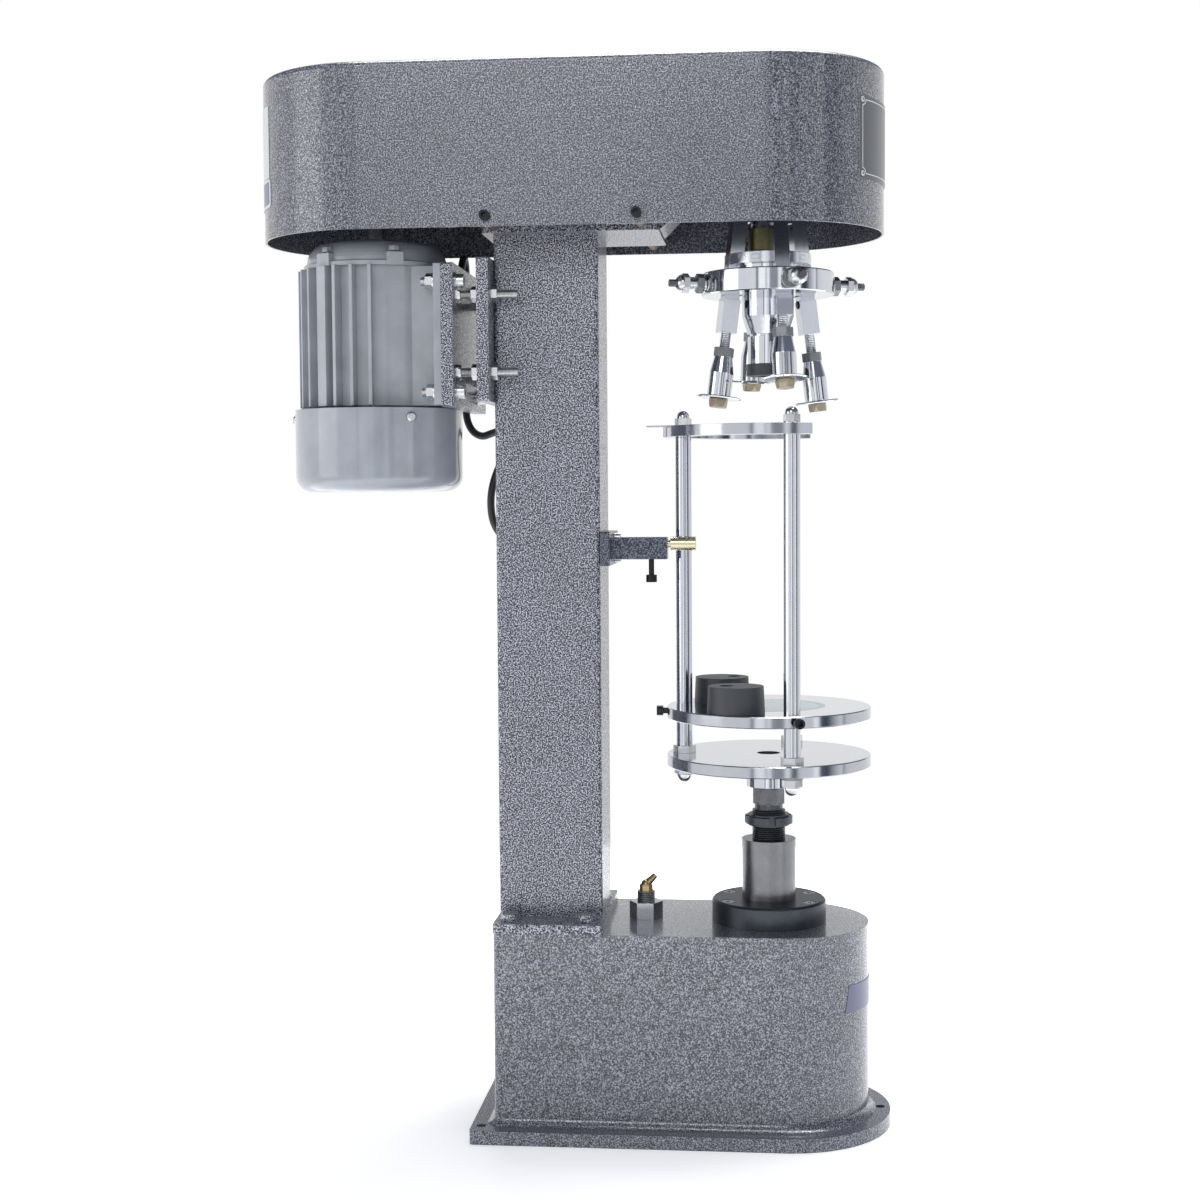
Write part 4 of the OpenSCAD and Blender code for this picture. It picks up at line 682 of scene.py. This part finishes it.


# The motor moves on its slots; its lead and the belt are drawn here as fixed pieces in place of
# the CAD's

def smooth_line(points, steps):
    """A finer line through the given points."""
    line = []
    last = len(points) - 1
    for i in range(last):
        p0, p1, p2, p3 = (points[min(max(k, 0), last)] for k in range(i - 1, i + 3))
        for j in range(steps):
            t = j / steps
            line.append(p1 + (p2 - p0) * (t / 2) + (p0 * 2 - p1 * 5 + p2 * 4 - p3) * (t ** 2 / 2)
                        + (p1 * 3 - p0 - p2 * 3 + p3) * (t ** 3 / 2))
    return line + [points[-1]]


def tube(line, radius, sides):
    """Vertices and faces of a round bar along a line; each ring keeps the turn of the last."""
    verts = []
    last = len(line) - 1
    u = Vector((0, 0, 1))
    for i, p in enumerate(line):
        along = (line[min(i + 1, last)] - line[max(i - 1, 0)]).normalized()
        u = (u - along * u.dot(along)).normalized()
        w = along.cross(u)
        for j in range(sides):
            a = 2 * math.pi * j / sides
            verts.append(p + (u * math.cos(a) + w * math.sin(a)) * radius)
    faces = rings(sides, last)
    faces.append(tuple(range(sides - 1, -1, -1)))
    faces.append(tuple(range(last * sides, (last + 1) * sides)))
    return verts, faces


def bending(name, mesh, node):
    obj = new_object(name, mesh)
    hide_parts(node)
    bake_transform(obj)
    return obj


def motor_lead():
    line = smooth_line([Vector(p) / 1000 for p in LEAD], 5)
    verts, faces = tube(line, LEAD_R, 14)
    mesh = new_mesh("motor_lead", verts, faces, CABLE, smooth=True)
    bending("motor_lead", mesh, "motor_cable")


def belt_run():
    """A copy of the belt as it lies round the lift pulley and the motor pulley."""
    mesh = NODES["drive_belt"].data.copy()
    bending("belt_run", mesh, "drive_belt")


motor_lead()
belt_run()


# Camera, floor and light

# Fitted to the photo's edges, in metres and radians
CAMERA_AT = Vector((0.018643, -1.802358, 0.607532))
YAW = -0.1
PITCH = -0.057
ROLL = -0.007
SENSOR_MM = 36
LENS_MM = 56.27


def photo_camera():
    level = Vector((math.cos(YAW), -math.sin(YAW), 0))
    ahead = Vector((math.sin(YAW) * math.cos(PITCH), math.cos(YAW) * math.cos(PITCH),
                    math.sin(PITCH)))
    upright = level.cross(ahead)
    right = level * math.cos(ROLL) + upright * math.sin(ROLL)
    up = upright * math.cos(ROLL) - level * math.sin(ROLL)
    camera = new_object("camera", bpy.data.cameras.new("camera"))
    rows = [(right[i], up[i], -ahead[i], CAMERA_AT[i]) for i in range(3)]
    camera.matrix_world = Matrix((*rows, (0, 0, 0, 1)))
    camera.data.sensor_width = SENSOR_MM
    camera.data.lens = LENS_MM
    camera.data.clip_end = 60
    bpy.context.scene.camera = camera


# The floor glows more from GLOW_START to GLOW_END out, and so fades into the white behind it
FLOOR_R = 1.4
FLOOR_Z = -0.0002
GLOW_START = 0.45
GLOW_END = 1.1


def pale_floor():
    mat = new_material("floor", (0.9, 0.9, 0.9), roughness=0.8)
    distance = vector_math(mat, "LENGTH", coords(mat))
    link(mat, spread(mat, distance, 0.32, 1.0, GLOW_START, GLOW_END),
         shader_inputs(mat)["Emission Strength"])
    shader_inputs(mat)["Emission Color"].default_value = (1, 1, 1, 1)
    rim = [(FLOOR_R * math.cos(math.radians(a)), FLOOR_R * math.sin(math.radians(a)), FLOOR_Z)
           for a in range(0, 360, 4)]
    floor = new_object("floor", new_mesh("floor", rim, [tuple(range(len(rim)))], mat))


# Studio: white where the camera sees it. For light and reflections it has soft boxes and dark
# flags round the horizon and a dark sky above. Each entry is a turn from the near side towards
# +X, in degrees, and a colour.
WHITE = (1.0, 1.0, 1.02)
SOFT_BOX = (1.35, 1.35, 1.37)
NEAR_BOX = (1.25, 1.25, 1.27)
KEY_BOX = (1.5, 1.5, 1.5)
STRIP = (1.2, 1.2, 1.22)
PALE_BLUE = (0.95, 0.96, 1.0)
SILVER = (0.75, 0.77, 0.8)
GREY = (0.40, 0.42, 0.46)
SLATE = (0.22, 0.23, 0.27)
FLAG = (0.12, 0.13, 0.17)
NAVY = (0.06, 0.075, 0.12)
SKY = (0.17, 0.19, 0.24)
STUDIO = [(-90, WHITE), (-20, WHITE), (-18.5, SLATE), (-16, SLATE), (-14.5, SOFT_BOX),
          (-4, SOFT_BOX), (-3, SILVER), (-1.5, SILVER), (-0.5, NEAR_BOX), (3, NEAR_BOX),
          (4.5, GREY), (17.5, (0.37, 0.39, 0.43)), (18.8, STRIP), (24.5, STRIP), (26, FLAG),
          (32, FLAG), (34, PALE_BLUE), (51, PALE_BLUE), (52.5, KEY_BOX), (58, KEY_BOX),
          (60, NAVY), (70, NAVY), (76, GREY), (90, (1.1, 1.1, 1.12)), (93, (0.3, 0.31, 0.35)),
          (97, (0.9, 0.91, 0.93)), (110, (1.0, 1.0, 1.0))]
# Heights of a direction where the horizon gives way to the sky
SKY_START = 0.23
SKY_END = 0.36


def studio_world():
    world = bpy.data.worlds.new("studio")
    bpy.context.scene.world = world
    world.use_nodes = True
    direction = coords(world, "Generated")
    around = add(world, "ShaderNodeTexGradient")
    around.gradient_type = "RADIAL"
    link(world, direction, around.inputs["Vector"])
    horizon = ramp(world, around.outputs["Fac"], [(0.25 + turn / 360, c) for turn, c in STUDIO])
    height = add(world, "ShaderNodeSeparateXYZ")
    link(world, direction, height.inputs[0])
    rise = spread(world, height.outputs["Z"], 0.0, 1.0, SKY_START, SKY_END)
    by_camera = add(world, "ShaderNodeLightPath").outputs["Is Camera Ray"]
    seen = mix(world, by_camera, mix(world, rise, horizon, SKY), (1, 1, 1))
    link(world, seen, world.node_tree.nodes["Background"].inputs["Color"])


def area_light(name, place, target, size, size_y, power):
    light = new_object(name, bpy.data.lights.new(name, "AREA"))
    light.data.shape = "RECTANGLE"
    light.data.size = size
    light.data.size_y = size_y
    light.data.energy = power
    light.location = place
    light.rotation_mode = "QUATERNION"
    light.rotation_quaternion = (Vector(target) - Vector(place)).to_track_quat("-Z", "Y")
    light.visible_camera = False


photo_camera()
pale_floor()
studio_world()
area_light("left_box", (-2.6, -1.2, 1.0), (-0.2, 0, 0.6), 1.4, 1.8, 11)
area_light("front_box", (-0.4, -2.4, 2.0), (-0.1, 0, 0.9), 1.2, 0.8, 12)
area_light("top_box", (0.1, 0.35, 2.8), (0, 0.1, 0.3), 1.8, 1.5, 90)

view = bpy.context.scene.view_settings
view.view_transform = "Standard"
view.look = "None"
view.exposure = 0.0
